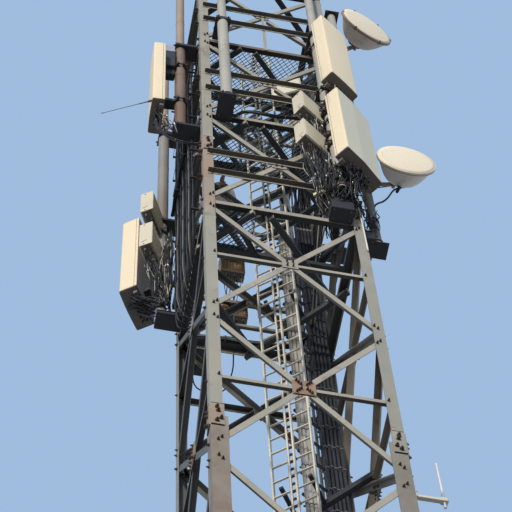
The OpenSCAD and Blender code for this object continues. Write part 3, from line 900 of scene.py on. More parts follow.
# Width of each bundle and the points of its route about the tower axis, in millimetres
JUMPER_ROUTES = (
    (22, ((1518, -655, 11040), (1505, -668, 11000), (1460, -680, 10940), (1400, -680, 10830),
          (1320, -675, 10580), (1250, -660, 10450), (1165, -650, 10350), (1130, -560, 10250),
          (1100, -530, 9900), (1090, -530, 9500), (1000, -500, 9250), (850, -480, 9090))),
    (70, ((370, -1075, 10640), (380, -1040, 10480), (410, -950, 10200), (440, -850, 9950),
          (470, -740, 9800), (500, -400, 9500), (540, 0, 9350), (590, 400, 9300),
          (610, 560, 9350))),
    (60, ((809, -1246, 9710), (790, -1200, 9560), (700, -1080, 9480), (590, -900, 9620),
          (520, -780, 9760))),
    (50, ((560, -1010, 11850), (520, -960, 12060), (400, -935, 12140), (200, -930, 12125),
          (0, -920, 12130), (-250, -915, 12150), (-400, -900, 12110), (-470, -890, 12000),
          (-535, -920, 11900))),
    (40, ((-1400, -655, 12160), (-1400, -665, 11900), (-1385, -685, 11650), (-1330, -705, 11450),
          (-1234, -720, 11250), (-1104, -735, 11140), (-990, -745, 11115), (-875, -750, 11135))),
    (60, ((-1243, 400, 10380), (-1230, 410, 10250), (-1190, 430, 10050), (-1130, 500, 9850),
          (-1060, 600, 9720), (-1000, 650, 9600))),
    (50, ((-1330, 790, 9680), (-1325, 740, 9580), (-1260, 650, 9530), (-1150, 600, 9520),
          (-1040, 610, 9560), (-1000, 650, 9600))),
    (45, ((-1010, 600, 11600), (-1000, 605, 11000), (-995, 610, 10300), (-1000, 650, 9600),
          (-940, 760, 9300), (-850, 800, 9110))),
    (90, ((610, 600, 9300), (500, 680, 9160), (300, 740, 9120), (0, 770, 9100),
          (-350, 760, 9100), (-600, 790, 9100), (-850, 800, 9110))),
    (90, ((-990, -530, 12050), (-985, -300, 12020), (-980, 0, 12010), (-985, 300, 12020),
          (-990, 530, 12050))),
    (16, ((-620, 1080, 9000), (-650, 1140, 8800), (-600, 1180, 8620), (-450, 1200, 8560),
          (-300, 1150, 8600), (-230, 1000, 8800), (-240, 850, 9000))),
)


def bundle(shape, rng, points, width, grey=0.15):
    """Separate cables that run loosely side by side along a route, tied at intervals."""
    line = smooth_line(points, 0.07)
    if width < 0.03:
        shape.index = 0
        shape.tube(line, width / 2, 10)
        return
    r = 0.0075 if width < 0.065 else 0.009
    count = max(3, round((width / 2 / r) ** 2 * 0.55))
    for k in range(count):
        angle, far = 2.4 * k, (width / 2 - r) * math.sqrt((k + 0.5) / count)
        twist, phase = rng.uniform(-1.5, 1.5), rng.uniform(0, 6)
        strand = []
        for i, p in enumerate(line):
            t = i / (len(line) - 1)
            ahead = (line[min(i + 1, len(line) - 1)] - line[max(i - 1, 0)]).normalized()
            over = ahead.cross(Vector((0.2, 0.1, 1))).normalized()
            up = over.cross(ahead)
            a = angle + twist * t
            wide = far * (1 + 0.25 * math.sin(5 * t * math.pi + phase))
            strand.append(p + wide * (math.cos(a) * over + math.sin(a) * up))
        shape.index = 1 if rng.random() < grey else 0
        shape.tube(strand, r, 6)
    shape.index = 2
    for k in range(3, len(line) - 2, 6):
        shape.tube([line[k] - 0.006 * (line[k + 1] - line[k]).normalized(),
                    line[k] + 0.006 * (line[k + 1] - line[k]).normalized()],
                   0.98 * width / 2, 12)


def jumper_bundles():
    """Every route as a bundle of separate cables."""
    rng = random.Random(7)
    shape = Shape(AXIS)
    shape.soft = True
    for width, points in JUMPER_ROUTES:
        bundle(shape, rng, [Vector(p) / 1000 for p in points], width / 1000)
    shape.build("jumper_bundles", [BLACK, CABLE_PALE, CAP_DARK],
                "cable_black", "jumper_cables")


# Antennas, radio units and dishes

# Place of the foot, bearing, [depth, width, height], crown and fold of the front
PANELS = {
    "right_upper_panel": ((0.741, -1.305, 12.400), -56, (0.200, 0.454, 2.470), 0.007, 0.0),
    "right_lower_panel": ((0.809, -1.246, 9.710), -52, (0.207, 0.600, 2.160), 0.0, 0.016),
    "left_upper_panel": ((-1.400, -0.655, 12.160), 178, (0.160, 0.450, 2.330), 0.007, 0.0),
    "left_lower_panel": ((-1.350, 0.810, 9.680), 147, (0.225, 0.520, 2.150), 0.007, 0.0),
}
# Fronts that take a lit or a shaded copy of the panel paint
PANEL_FRONTS = {"right_upper_panel": PANEL_LIT_FRONT, "right_lower_panel": PANEL_SHADE_GREEN}
CORNER_STEPS = 5
# Distance between the connectors below a panel
PLUG_PITCH = 0.062


def corner_points(x, y, cx, cy, r, start):
    """A round corner of an outline, from its outer square corner."""
    return [(x - cx * r + r * math.cos(math.radians(start + 90 * k / CORNER_STEPS)),
             y - cy * r + r * math.sin(math.radians(start + 90 * k / CORNER_STEPS)))
            for k in range(CORNER_STEPS + 1)]


def panel_outline(depth, width, inset, crown, fold):
    """Plan of a panel with its seams: tight corners and a front that bulges or folds to a ridge."""
    d, w = depth / 2 - inset, width / 2 - inset
    back, front = 0.010, 0.020
    flat = d - crown - fold
    seam = (-depth / 2 + 0.030, -depth / 2 + 0.035)
    outline = corner_points(-d, -w, -1, -1, back, 180) + [(x, -w) for x in seam]
    outline += corner_points(flat, -w, 1, -1, front, 270)
    if fold:
        ridge = -0.12 * w
        outline += [(flat + fold, ridge - 0.004), (flat + fold, ridge + 0.004)]
    else:
        for k in range(1, 10):
            t = -1 + 2 * k / 10
            outline.append((flat + crown * (1 - t * t), t * (w - front)))
    outline += corner_points(flat, w, 1, 1, front, 0) + [(x, w) for x in reversed(seam)]
    return outline + corner_points(-d, w, -1, 1, back, 90)


def radome(shape, depth, width, height, crown, fold):
    """Shell with a dark seam up both sides and below its top, painted shade on its back faces, and
    a front of its own material, which on two panels is a lit or shaded copy of the paint.
    """
    heights = ((0.016, 0.0), (0.05, 0.0), (height / 2, 0.0), (height - 0.040, 0.0),
               (height - 0.036, 0.0), (height - 0.014, 0.002), (height - 0.004, 0.010))
    rings = [[(x, y, z) for x, y in panel_outline(depth, width, inset, crown, fold)]
             for z, inset in heights]
    shape.soft = True
    first, n = len(shape.mats), len(rings[0])
    shape.loft(rings)
    shape.soft = False
    side = CORNER_STEPS + 1
    front = range(side + 2 + CORNER_STEPS, n - 2 - 2 * side)
    for k in range(len(rings) - 1):
        for i in range(n):
            face = first + k * n + i
            if i in (side, n - side - 2) or k == 3:
                shape.mats[face] = 1
            # Back faces take painted shade
            elif i < 4 or i > n - 4:
                shape.mats[face] = 5
            elif i in front:
                shape.mats[face] = 4
                shape.smooth[face] = not fold
    shape.smooth[first + (len(rings) - 1) * n:] = [False] * 2


def panel(name):
    """Radome shell, dark end caps with screws, connectors, and tilt drives at the back."""
    place, bearing, (depth, width, height), crown, fold = PANELS[name]
    shape = Shape(at(*place, bearing))
    back, side_y = -depth / 2, width / 2
    radome(shape, depth, width, height, crown, fold)
    shape.index = 1
    for inset, z0, z1 in ((0.002, 0.004, 0.016), (0.008, 0.0, 0.006)):
        shape.prism(panel_outline(depth, width, inset, crown, fold), z0, z1)
    for x in (back + 0.028, -back - 0.045):
        for y in (0.035 - side_y, side_y - 0.035):
            shape.hung([(0.009, 0), (0.009, 0.006), (0.005, 0.009)], x, y, 0.001, 8)
    count = 6 if width > 0.5 else 4
    for k in range(count):
        for row in (0, 1):
            y = (k - (count - 1) / 2) * PLUG_PITCH
            x = back + 0.045 + row * 0.055
            shape.index = 1
            shape.hung([(0.019, 0), (0.019, 0.008), (0.015, 0.010), (0.015, 0.034)],
                       x, y, 0.002, 10)
            shape.index = 2
            shape.hung([(0.0165, 0.014), (0.0165, 0.024)], x, y, 0.002, 8)
    shape.index = 1
    for y in (0.075 - side_y, side_y - 0.075):
        shape.box((back + 0.012, y - 0.028, -0.075), (back + 0.062, y + 0.028, 0.003),
                  bevel=0.004)
    shape.index = 3
    for side in (-1, 1):
        for z in steps(0.12, height - 0.08, 0.19):
            shape.turned([(0.0055, 0), (0.004, 0.0008)],
                         move(back + 0.018, side * side_y, z) @ turn(-90 * side, "X"), 6)
    mats = [MATERIALS["panel_shell"], CAP_DARK, BRIGHT, BOLT_RUST,
            PANEL_FRONTS.get(name, MATERIALS["panel_shell"]), PANEL_BACK_SHADE]
    shape.build(name + "_body", mats, "panel_shell", name)


def radio_plugs(width, count=6):
    """Places of the plugs below a radio, in two staggered rows."""
    return [(0.02 if k % 2 else -0.025, -width / 2 + 0.05 + k * (width - 0.1) / (count - 1))
            for k in range(count)]


def radio_body(shape, size, plugs=6, fins=17):
    """Cast case: smooth cover in front, fins behind, a thin dark strip of painted shade for a slot
    in each side, and plugs below.
    """
    depth, width, height = size
    x0, x1, y1 = -depth / 2, depth / 2, width / 2
    shape.index = 0
    shape.box((x0 + 0.055, -y1 + 0.002, 0.012), (x1 - 0.012, y1 - 0.002, height - 0.008))
    for y in (0.0025 - y1, y1 - 0.0025):
        shape.box((x0 + 0.004, y - 0.0025, 0.006), (x1 - 0.002, y + 0.0025, height - 0.004),
                  bevel=0.002)
    shape.box((x1 - 0.02, -y1 + 0.012, 0.024), (x1, y1 - 0.012, height - 0.018), bevel=0.006)
    for k in range(fins):
        y = -y1 + 0.006 + k * (width - 0.012) / (fins - 1)
        shape.box((x0, y - 0.0022, 0.03), (x0 + 0.058, y + 0.0022, height - 0.02))
    for z in (0.018, height - 0.03):
        shape.box((x0 + 0.012, -y1 + 0.004, z), (x0 + 0.058, y1 - 0.004, z + 0.016))
    shape.index = 1
    for side in (-1, 1):
        # Painted shade: a thin dark strip in each side stands in for the recess of a slot
        place = move(0.018, side * y1, 0.13) @ turn(18 * side, "Y")
        shape.box((-0.035, -0.0012, -0.006), (0.035, 0.0012, 0.006), place)
        for z in (0.04, height - 0.05):
            shape.bolt(move(0.02, side * y1, z) @ turn(180 if side > 0 else 0), 0.006, 0.008)
    shape.box((x0 + 0.03, -y1 + 0.01, 0.0), (x1 - 0.02, y1 - 0.01, 0.014))
    for x, y in radio_plugs(width, plugs):
        shape.index = 1
        shape.hung([(0.017, 0), (0.017, 0.006), (0.013, 0.008), (0.013, 0.03), (0.009, 0.05)],
                   x, y, 0.002, 10)
        shape.index = 2
        shape.hung([(0.0150, 0.012), (0.0150, 0.020)], x, y, 0.002, 8)
    # Handle on top
    shape.index = 0
    arch = [(0.09, -0.01), (0.088, 0.026), (0.07, 0.034)]
    shape.tube([(0, -y, height + z) for y, z in arch]
               + [(0, y, height + z) for y, z in reversed(arch)], 0.007, 8)


RADIOS = {
    "right_radio_units": [((0.370, -1.075, 10.640), -57, (0.165, 0.405, 0.590)),
                          ((0.393, -1.075, 11.690), -57, (0.165, 0.405, 0.590))],
    "left_radio_units": [((-1.243, 0.478, 10.380), 150, (0.165, 0.405, 0.680)),
                         ((-1.243, 0.478, 11.480), 150, (0.165, 0.405, 0.610))],
    "rear_radio_units": [((-0.170, 1.030, 10.300), 90, (0.165, 0.300, 0.450)),
                         ((-0.170, 1.030, 11.650), 90, (0.165, 0.300, 0.500))],
}


def radios(name):
    """The two radio units of a group."""
    shape = Shape()
    for place, bearing, size in RADIOS[name]:
        shape.place = at(*place, bearing)
        radio_body(shape, size)
    # The rear units take the tan made lighter as painted sunlight
    cover = RADIO_TAN_LIT if name.startswith("rear") else MATERIALS["radio_case"]
    shape.build(name + "_cases", [cover, CAP_DARK, BRIGHT], "radio_case", name)


def dish(place, bearing, tilt, d, lugs):
    """Spun bowl with a rolled rim and a band, a flat cover, any clamp lugs round the rim, and a
    bolted hub at the back.
    """
    r = d / 2
    shape = Shape(at(*place, bearing, tilt) @ turn(90, "Y"))
    bowl = [(0.088, -0.300), (0.118, -0.299), (0.150, -0.292)]
    for t in (k / 9 for k in range(1, 10)):
        bowl.append((0.150 + (r - 0.022 - 0.150) * t, -0.292 + 0.262 * t ** 1.55))
    bowl += [(r - 0.010, -0.028), (r - 0.006, -0.020), (r - 0.012, -0.012), (0.09, -0.012)]
    rim = [(r - 0.014, -0.030), (r - 0.002, -0.030), (r, -0.026), (r, -0.006), (r - 0.006, 0.0),
           (r - 0.014, 0.001)]
    band = [(r - 0.016, -0.038), (r - 0.001, -0.035), (r - 0.001, -0.024), (r - 0.016, -0.024)]
    cover = [(r - 0.012, -0.010)] + [((r - 0.014) * t, 0.001 + 0.022 * (1 - t ** 2))
                                     for t in (1 - k / 8 for k in range(8))] + [(0.004, 0.023)]
    for index, soft, profile in ((0, True, bowl), (1, False, rim), (3, False, band),
                                 (2, True, cover)):
        shape.index, shape.soft = index, soft
        shape.turned(profile, sides=72)
    shape.index, shape.soft = 3, False
    for k in range(lugs):
        lug = turn(360 * (k + 0.5) / lugs)
        shape.box((r - 0.028, -0.016, -0.046), (r, 0.016, 0.004), lug, bevel=0.003)
        shape.turned([(0.007, 0), (0.007, 0.008), (0.004, 0.012)],
                     lug @ move(r - 0.014, 0, 0.004), 6)
    shape.turned([(0.070, -0.330), (0.092, -0.330), (0.096, -0.324), (0.096, -0.298),
                  (0.088, -0.292)], sides=32)
    for k in range(6):
        shape.bolt(turn(60 * k) @ move(0.079, 0, -0.330) @ turn(90, "X"), 0.007, 0.0)
    return shape


def build_dishes():
    """The two dishes at the right and the drum at the rear."""
    shell = MATERIALS["dish_shell"]
    for name, place, bearing, tilt, d, lugs, bowl, rim in (
            ("lower_dish", (1.518, -1.000, 11.090), -88, 5, 0.71, 0, BOWL_GREY, shell),
            ("upper_dish", (1.443, -1.000, 16.510), -68, 3, 0.80, 6, BOWL_BROWN, RIM_BROWN),
            ("rear_drum", (-0.230, 1.420, 15.000), 90, 0, 0.60, 8, BOWL_GREY, RIM_BROWN)):
        dish(place, bearing, tilt, d, lugs).build(
            name + "_shell", [bowl, rim, shell, CAP_DARK], "dish_shell", name)


# Pipes and the brackets that hold things to them

def upper_pipe(shape):
    """Flange at the foot of an upper pipe, its reducer, bands, and the plate on its top."""
    shape.index = 0
    for z, profile in (
            (PIPE_LOW_Z, [(PIPE_R + 0.001, 0), (0.098, 0), (0.098, 0.014),
                          (PIPE_R + 0.003, 0.016), (PIPE_R + 0.001, 0.026)]),
            (COLLAR_Z, [(PIPE_R + 0.0005, -0.004), (PIPE_R + 0.0005, 0.004),
                        (PIPE_TOP_R, 0.045), (PIPE_TOP_R - 0.001, 0.046)])):
        shape.turned(profile, move(0, 0, z), 40)
    for z, r in ((13.9, PIPE_R + 0.0008), (16.3, PIPE_TOP_R + 0.0008)):
        shape.turned([(r, 0), (r + 0.0015, 0.002), (r + 0.0015, 0.010), (r, 0.012)],
                     move(0, 0, z), 40)
    shape.index = 1
    for k in range(8):
        shape.bolt(move(0, 0, PIPE_LOW_Z + 0.014) @ turn(45 * k + 22) @ move(0.085, 0, 0)
                   @ turn(-90, "X"), 0.008, 0.014)
    for x, y in corners(0.078, 0.078):
        shape.nut(x, y, HEIGHT - 0.012, 0.014, 0.010, 0.022, shank=0.007)
    shape.index = 3
    shape.box((-0.0995, -0.0995, HEIGHT - 0.016), (0.0995, 0.0995, HEIGHT - 0.0115))


def open_end(shape, foot):
    """Rim, and a dark disc of painted shade for the hollow at the foot of a pipe."""
    inner = PIPE_TOP_R - 0.007
    shape.index = 0
    shape.turned([(inner, 0.0), (PIPE_TOP_R, 0.0), (PIPE_TOP_R, -0.004), (inner, -0.004),
                  (inner, 0.0)], move(0, 0, foot), 40)
    # Painted shade: a dark disc across the opening
    shape.index = 2
    shape.turned([(inner - 0.0002, 0), (inner - 0.0002, -0.0006)], move(0, 0, foot), 40)


def closed_end(shape, foot):
    """Square plate below the foot of a pipe, with nuts at its corners and plugged holes."""
    shape.index = 3
    shape.box((-0.101, -0.101, foot - 0.016), (0.101, 0.101, foot - 0.0118))
    shape.index = 1
    for x, y in corners(0.08, 0.08):
        shape.nut(x, y, foot - 0.012, 0.012, 0.009, 0.018)
    for x, y in corners(0.025, 0.025):
        shape.hung([(0.009, 0), (0.009, 0.003)], x, y, foot - 0.0125, 12)


def pipe_details():
    """Ends, flanges and bands of the upper pipes, and the feet of the lower ones."""
    shape = Shape()
    for face in range(4):
        for side in (-1, 1):
            shape.place = at_pipe(face, side)
            upper_pipe(shape)
    for face, side, foot in LOWER_PIPES:
        shape.place = at_pipe(face, side)
        if face != 3:
            (open_end if foot > 9.0 else closed_end)(shape, foot)
    mats = [MATERIALS["pipe_steel"], BOLT_RUST, HOLLOW_SHADE, DARK]
    shape.build("pipe_details", mats, "pipe_steel")


def u_bolt(shape, place, r, back, wire=0.008):
    """Round bar bent round a pipe, with its threaded legs through a plate at the back."""
    shape.index = 1
    r += wire
    half_turn = [math.radians(a) for a in range(0, 181, 15)]
    bend = [(r * math.sin(a), r * math.cos(a), 0) for a in half_turn]
    shape.tube([(-back, r, 0), *bend, (-back, -r, 0)], wire, 8, place)
    for side in (-1, 1):
        shape.turned([(0.021, 0), (0.021, 0.004), (0.016, 0.004), (0.016, 0.017), (0.009, 0.018),
                      (0.009, 0.03)], place @ move(-back + 0.012, side * r, 0) @ turn(-90, "Y"), 6)


def upper_box(shape, z, h, out):
    """Bottom plate, ribs, bolts and nuts of a box that holds an upper pipe."""
    half_w, y0, y1 = 0.095, LEG_T - out, PIPE_OUT + LEG_T
    shape.index = 0
    shape.box((-half_w - 0.006, y0 - 0.003, z - h - 0.004),
              (half_w + 0.006, y1 - 0.01, z - h + 0.010))
    for x in (-half_w, half_w):
        for y in (y0 + 0.04, y0 + 0.17):
            shape.box((x - 0.008, y - 0.005, z - h + 0.01), (x + 0.008, y + 0.005, z - 0.01))
    shape.index = 1
    for x in (-0.065, 0.065):
        shape.bolt(move(x, y0, z - h / 2), 0.012, 0.026)
        for y in (y0 + 0.025, y1 - 0.045):
            shape.nut(x, y, z - h - 0.003, 0.011, 0.009, 0.020)


def lower_box(shape, face, foot):
    """Plates and nuts of a box that holds a lower pipe, and its straps round the pipe."""
    if face == 3:
        half_w, y0, low, high = 0.095, -0.06, foot - 0.08, foot
    else:
        half_w, y0, low, high = 0.125, PIPE_TOP_R, 8.97, 9.2
    shape.index = 0
    for z in (low - 0.004, high - 0.010):
        shape.box((-half_w - 0.006, y0 + 0.004, z), (half_w + 0.006, PIPE_OUT, z + 0.012))
    shape.index = 1
    for x in (0.03 - half_w, half_w - 0.03):
        for y in (y0 + 0.03, PIPE_OUT - 0.03):
            shape.nut(x, y, low - 0.003, 0.011, 0.010, 0.024)
    if face != 3:
        for z in (9.03, 9.15) if foot < 9.1 else (9.43, 9.52):
            u_bolt(shape, move(0, 0, z) @ turn(-90), PIPE_TOP_R, 0.07)
        if foot > 9.1:
            shape.index = 0
            shape.box((-0.09, PIPE_TOP_R, 9.19), (0.09, PIPE_TOP_R + 0.014, 9.56))


def bracket_details():
    """Plates, ribs, bolts and round straps on the fabricated boxes that hold the pipes."""
    shape = Shape()
    for face in range(4):
        for side in (-1, 1):
            shape.place = at_pipe(face, side)
            upper_box(shape, PIPE_LOW_Z, PIPE_BOX_H, 0.10)
            upper_box(shape, COLLAR_Z, COLLAR_BOX_H, 0.09)
    for face, side, foot in LOWER_PIPES:
        shape.place = at_pipe(face, side)
        lower_box(shape, face, foot)
    shape.build("bracket_details", [DARK, BOLT_RUST], "dark_steel")


def pipe_clamp(shape, place, r, reach):
    """Two saddles drawn round a pipe by threaded rods, and an arm with a hinge out to a reach."""
    shape.index = 0
    arc = [math.radians(a) for a in range(-62, 63, 12)]
    for s in (-1, 1):
        bend = [(s * (r + 0.006) * math.cos(a), (r + 0.006) * math.sin(a)) for a in arc]
        loop = bend + [(x + s * 0.014, y * 1.12) for x, y in reversed(bend)]
        shape.prism(loop[::s], -0.032, 0.032, place)
        x = s * r * 0.5
        for y0, y1 in ((r + 0.004, r + 0.044), (-r - 0.044, -r - 0.004)):
            shape.box((x - 0.012, y0, -0.03), (x + 0.012, y1, 0.03), place)
    shape.index = 1
    for y, z in corners(r + 0.026, 0.016):
        shape.rod((-r * 0.5 - 0.06, y, z), (r * 0.5 + 0.06, y, z), 0.006, 8, place)
        for s in (-1, 1):
            shape.rod((s * (r * 0.5 + 0.013), y, z), (s * (r * 0.5 + 0.026), y, z), 0.011, 6, place)
    shape.index = 0
    for y in (-0.045, 0.045):
        shape.box((r, y - 0.005, -0.045), (reach, y + 0.005, 0.045), place)
    shape.index = 1
    shape.rod((reach - 0.045, -0.062, 0), (reach - 0.045, 0.062, 0), 0.010, 8, place)


FRONT_PIPE, RIGHT_PIPE = (PIPE_ALONG, -1.10), (1.10, -PIPE_ALONG)
LEFT_FRONT_PIPE, LEFT_REAR_PIPE = (-1.10, -PIPE_ALONG), (-1.10, PIPE_ALONG)
# Pipe, bearing, heights, reach of the arm
CLAMPS = (
    (FRONT_PIPE, -56, (12.74, 14.54), 0.138),
    (FRONT_PIPE, -52, (9.94, 11.54), 0.128),
    (LEFT_FRONT_PIPE, 178, (12.84, 14.24), 0.22),
    (LEFT_REAR_PIPE, 143, (9.94, 11.54), 0.195),
    (FRONT_PIPE, 174, (10.78, 11.10, 11.83, 12.18), 0.12),
    (LEFT_REAR_PIPE, 226, (10.55, 10.92), 0.10),
    (RIGHT_PIPE, -20, (11.09, 16.51), 0.12),
)


def clamps():
    """Clamps of the panels, the radios and the dishes on the pipes."""
    shape = Shape()
    for pipe, bearing, heights, reach in CLAMPS:
        for z in heights:
            if PIPE_LOW_Z - 0.12 < z < PIPE_LOW_Z + 0.05:
                z = PIPE_LOW_Z + 0.06
            r = PIPE_R if PIPE_LOW_Z < z < COLLAR_Z else PIPE_TOP_R
            pipe_clamp(shape, at(*pipe, z, bearing), r, reach)
    shape.build("pipe_clamps", [DARK, BOLT_RUST], "dark_steel")


# Arms that hold the dishes

# Pipe or pole, bearing, reach, height, and how far the hub stands to the side
ARMS = (
    (RIGHT_PIPE, 2, 0.345, 11.09, -0.06),
    (RIGHT_PIPE, 2, 0.255, 16.51, -0.06),
    ((-0.23, 0.88), 90, 0.205, 14.995, 0.0),
)


def dish_arms():
    """Pole clamp, channel arm, hub plate with bolts and a rod that sets the tilt, for each dish."""
    shape = Shape()
    for pole, bearing, reach, z, out in ARMS:
        shape.place = at(*pole, z, bearing)
        if pole == RIGHT_PIPE:
            pipe_clamp(shape, move(0, -0.005, 0), PIPE_TOP_R, 0.11)
        shape.index = 2
        shape.rod((0.05, 0, 0.01), (reach - 0.02, out, 0.01), 0.024, 16)
        shape.box((reach - 0.035, out - 0.04, -0.045), (reach, out + 0.035, 0.055), bevel=0.004)
        shape.index = 1
        for pz in (-0.028, 0.038):
            shape.bolt(move(reach - 0.018, out - 0.040, pz), 0.008, 0.014)
        shape.rod((0.09, 0.03, -0.03), (reach - 0.02, out + 0.03, 0.04), 0.007, 8)
    shape.build("dish_arms", [DARK, BOLT_RUST, RIM_BROWN], "dark_steel",
                "dish_mounts")


# Loose cables

def feeder_tails():
    """Each feeder leaves the cable ladder with a connector and a thinner tail to the front."""
    rng = random.Random(5)
    shape = Shape(AXIS)
    shape.soft = True
    for row in range(FEEDER_ROWS):
        for n in FEEDER_COLUMNS:
            x, y = (a + b for a, b in zip(CABLE_PLACE, feeder_place(row, n)))
            z = FEEDER_TOP - FEEDER_DROP * row
            shape.index = 1
            shape.turned([(0.019, -0.02), (0.022, -0.01), (0.022, 0.03), (0.014, 0.05)],
                         move(x, y, z), 12)
            sway = rng.uniform(-0.05, 0.05)
            points = [(x, y, z), (x, y, z + 0.22), (x - 0.05 + sway, y - 0.25, z + 0.55),
                      (0.50 + 0.03 * n + sway, -0.10, z + 0.25),
                      (0.44 + 0.02 * n, -0.62, 12.75 - 0.12 * row + sway),
                      (0.42 + 0.012 * n, -0.86 - 0.02 * row, 12.42 - 0.1 * row)]
            shape.index = 0
            shape.tube(smooth_line(points, 0.09), 0.011, 8)
    # Plug at the hub of the lower dish
    shape.rod((1.495, -0.70, 10.985), (1.44, -0.70, 10.77), 0.019, 10)
    shape.build("feeder_tails", [BLACK, CAP_DARK], "cable_black")


LEFT_CABLES = 13
LEFT_STRAPS = (9.35, 10.35, 11.3, 12.5, 13.4, 14.3)


def left_run():
    """Black cables that climb outside the left face on short straps, some with a pale line."""
    rng = random.Random(3)
    shape = Shape(AXIS)
    shape.soft = True
    for k in range(LEFT_CABLES):
        y = -0.56 + 0.09 * k
        x = -0.945 - 0.022 * (k % 2)
        points = [(-0.80, 0.55 * y + 0.25, 8.72), (-0.90, 0.8 * y + 0.1, 8.62)]
        for z in steps(8.85, 14.7, 0.75):
            points.append((x + rng.uniform(-0.005, 0.005), y + rng.uniform(-0.009, 0.009), z))
        line = smooth_line(points + [(-0.93, y, 14.8), (-0.84, y, 14.88)], 0.18)
        shape.index = 0
        shape.tube(line, 0.0105, 7)
        if k % 4 == 1:
            shape.index = 2
            shape.tube([q + Vector((-0.008, 0.03, 0)) for q in line], 0.004, 6)
    shape.soft = False
    shape.index = 1
    for z in LEFT_STRAPS:
        shape.box((-0.984, -0.62, z - 0.012), (-0.980, 0.58, z + 0.012))
        for y in (-0.61, 0.57):
            shape.box((-0.984, y - 0.012, z - 0.012), (-0.885, y + 0.012, z + 0.012))
    mats = [BLACK, DARK, MATERIALS["rod_steel"]]
    shape.build("left_run", mats, "cable_black")


# Low and high corner where the loops start, the same where they end, then how many loops,
# the share of pale ones and their radius
TANGLES = (
    ((0.50, -1.24, 9.62), (0.86, -1.02, 10.10), (0.54, -0.98, 8.98), (0.90, -0.84, 9.50),
     50, 0.06, 0.0065),
    ((0.52, -1.27, 9.66), (0.84, -1.10, 9.72), (0.50, -1.14, 9.16), (0.84, -1.02, 9.50),
     60, 0.05, 0.0065),
    ((0.24, -1.20, 10.52), (0.56, -0.92, 10.62), (0.36, -1.03, 9.42), (0.50, -0.93, 9.62),
     56, 0.22, 0.0045),
    ((0.30, -1.18, 11.60), (0.58, -0.95, 11.68), (0.40, -0.98, 10.9), (0.52, -0.90, 11.2),
     34, 0.2, 0.0045),
    ((0.36, -1.03, 9.42), (0.50, -0.93, 9.62), (0.48, -0.82, 8.95), (0.66, -0.60, 9.20),
     26, 0.15, 0.006),
    ((0.92, -0.78, 9.75), (1.16, -0.60, 9.95), (0.90, -0.80, 9.15), (1.12, -0.66, 9.40),
     20, 0.1, 0.005),
    ((-1.32, 0.38, 10.30), (-1.12, 0.58, 10.38), (-1.20, 0.50, 9.30), (-1.02, 0.66, 9.60),
     46, 0.22, 0.0048),
    ((-1.10, 0.30, 10.80), (-1.02, 0.50, 11.10), (-1.06, 0.42, 9.40), (-0.98, 0.60, 9.70),
     22, 0.2, 0.006),
    ((-1.45, 0.62, 9.58), (-1.25, 0.85, 9.66), (-1.12, 0.50, 9.20), (-0.98, 0.66, 9.32),
     30, 0.0, 0.008),
    ((-1.40, -0.74, 12.05), (-1.30, -0.60, 12.12), (-1.24, -0.74, 11.45), (-1.14, -0.68, 11.70),
     16, 0.06, 0.0038),
    ((0.62, -1.28, 12.30), (0.82, -1.16, 12.38), (0.52, -1.02, 11.9), (0.66, -0.92, 12.1),
     24, 0.15, 0.006),
)


# Pale conduit down the front right leg
CONDUIT = ((0.77, -0.955, 9.80), (0.80, -0.93, 9.55), (0.853, -0.895, 9.3), (0.868, -0.892, 8.2))


def spot(rng, low, high):
    """A random point inside a box."""
    return Vector([rng.uniform(a, b) for a, b in zip(low, high)])


def tangle():
    """Spare loops of jumper that hang below the antennas and radios, with some bright plugs."""
    rng = random.Random(21)
    shape = Shape(AXIS)
    shape.soft = True
    for start_low, start_high, end_low, end_high, count, pale, r in TANGLES:
        for k in range(count):
            start, end = spot(rng, start_low, start_high), spot(rng, end_low, end_high)
            mids = [start.lerp(end, t) + spot(rng, (-0.05, -0.05, -0.09), (0.05, 0.04, 0.07))
                    for t in (0.3, 0.65)]
            shape.index = 1 if rng.random() < pale else 0
            shape.tube(smooth_line([start, *mids, end], 0.06), r * rng.uniform(0.75, 1.2), 6)
            if rng.random() < 0.55 * pale + 0.08:
                shape.index = 2
                q = mids[rng.randrange(2)]
                shape.rod(q, q + Vector((rng.uniform(-0.02, 0.02), 0.0, 0.06)), 0.010, 8)
    shape.index = 3
    shape.tube(smooth_line(CONDUIT, 0.08), 0.009, 10)
    mats = [BLACK, CABLE_PALE, BRIGHT, MATERIALS["whip_white"]]
    shape.build("tangle", mats, "cable_black")


def deck_stiffener():
    """Angle below the low deck, from near the front left leg to the beam behind the grating."""
    shape = Shape(AXIS @ move(-0.54, -0.76, 8.905) @ turn(52))
    shape.box((0.0, -0.03, 0.0), (0.56, 0.03, 0.008))
    shape.box((0.0, -0.03, 0.0), (0.56, -0.022, 0.045))
    shape.build("deck_stiffener", DARK, "dark_steel")


# Small parts

def whip():
    """Square arm with an end clamp, and a fibreglass rod in a metal foot."""
    shape = Shape(AXIS)
    x = HALF_W
    shape.index = 0
    shape.box((x, -0.860, 2.700), (x + 0.290, -0.820, 2.740), bevel=0.004)
    shape.box((x - 0.004, -0.878, 2.66), (x + 0.008, -0.802, 2.78), bevel=0.002)
    shape.box((x + 0.225, -0.866, 2.690), (x + 0.285, -0.814, 2.750), bevel=0.004)
    shape.index = 1
    for dz in (0.02, 0.1):
        shape.bolt(move(x + 0.008, -0.865, 2.67 + dz) @ turn(90), 0.007, 0.012)
    place = move(x + 0.255, -0.84, 0)
    shape.index = 2
    shape.soft = True
    shape.turned([(0.0125, 2.60), (0.014, 2.605), (0.014, 2.84), (0.0115, 2.85)], place, 16)
    shape.index = 3
    shape.turned([(0.0105, 2.84), (0.0105, 2.95), (0.0095, 2.96), (0.0085, 3.395), (0.0095, 3.40),
                  (0.0095, 3.425), (0.004, 3.43)], place, 16)
    shape.soft = False
    mats = [PALE_STEEL, BOLT_RUST, BRIGHT, MATERIALS["whip_white"]]
    shape.build("whip_parts", mats, "whip_white", "whip_antenna")


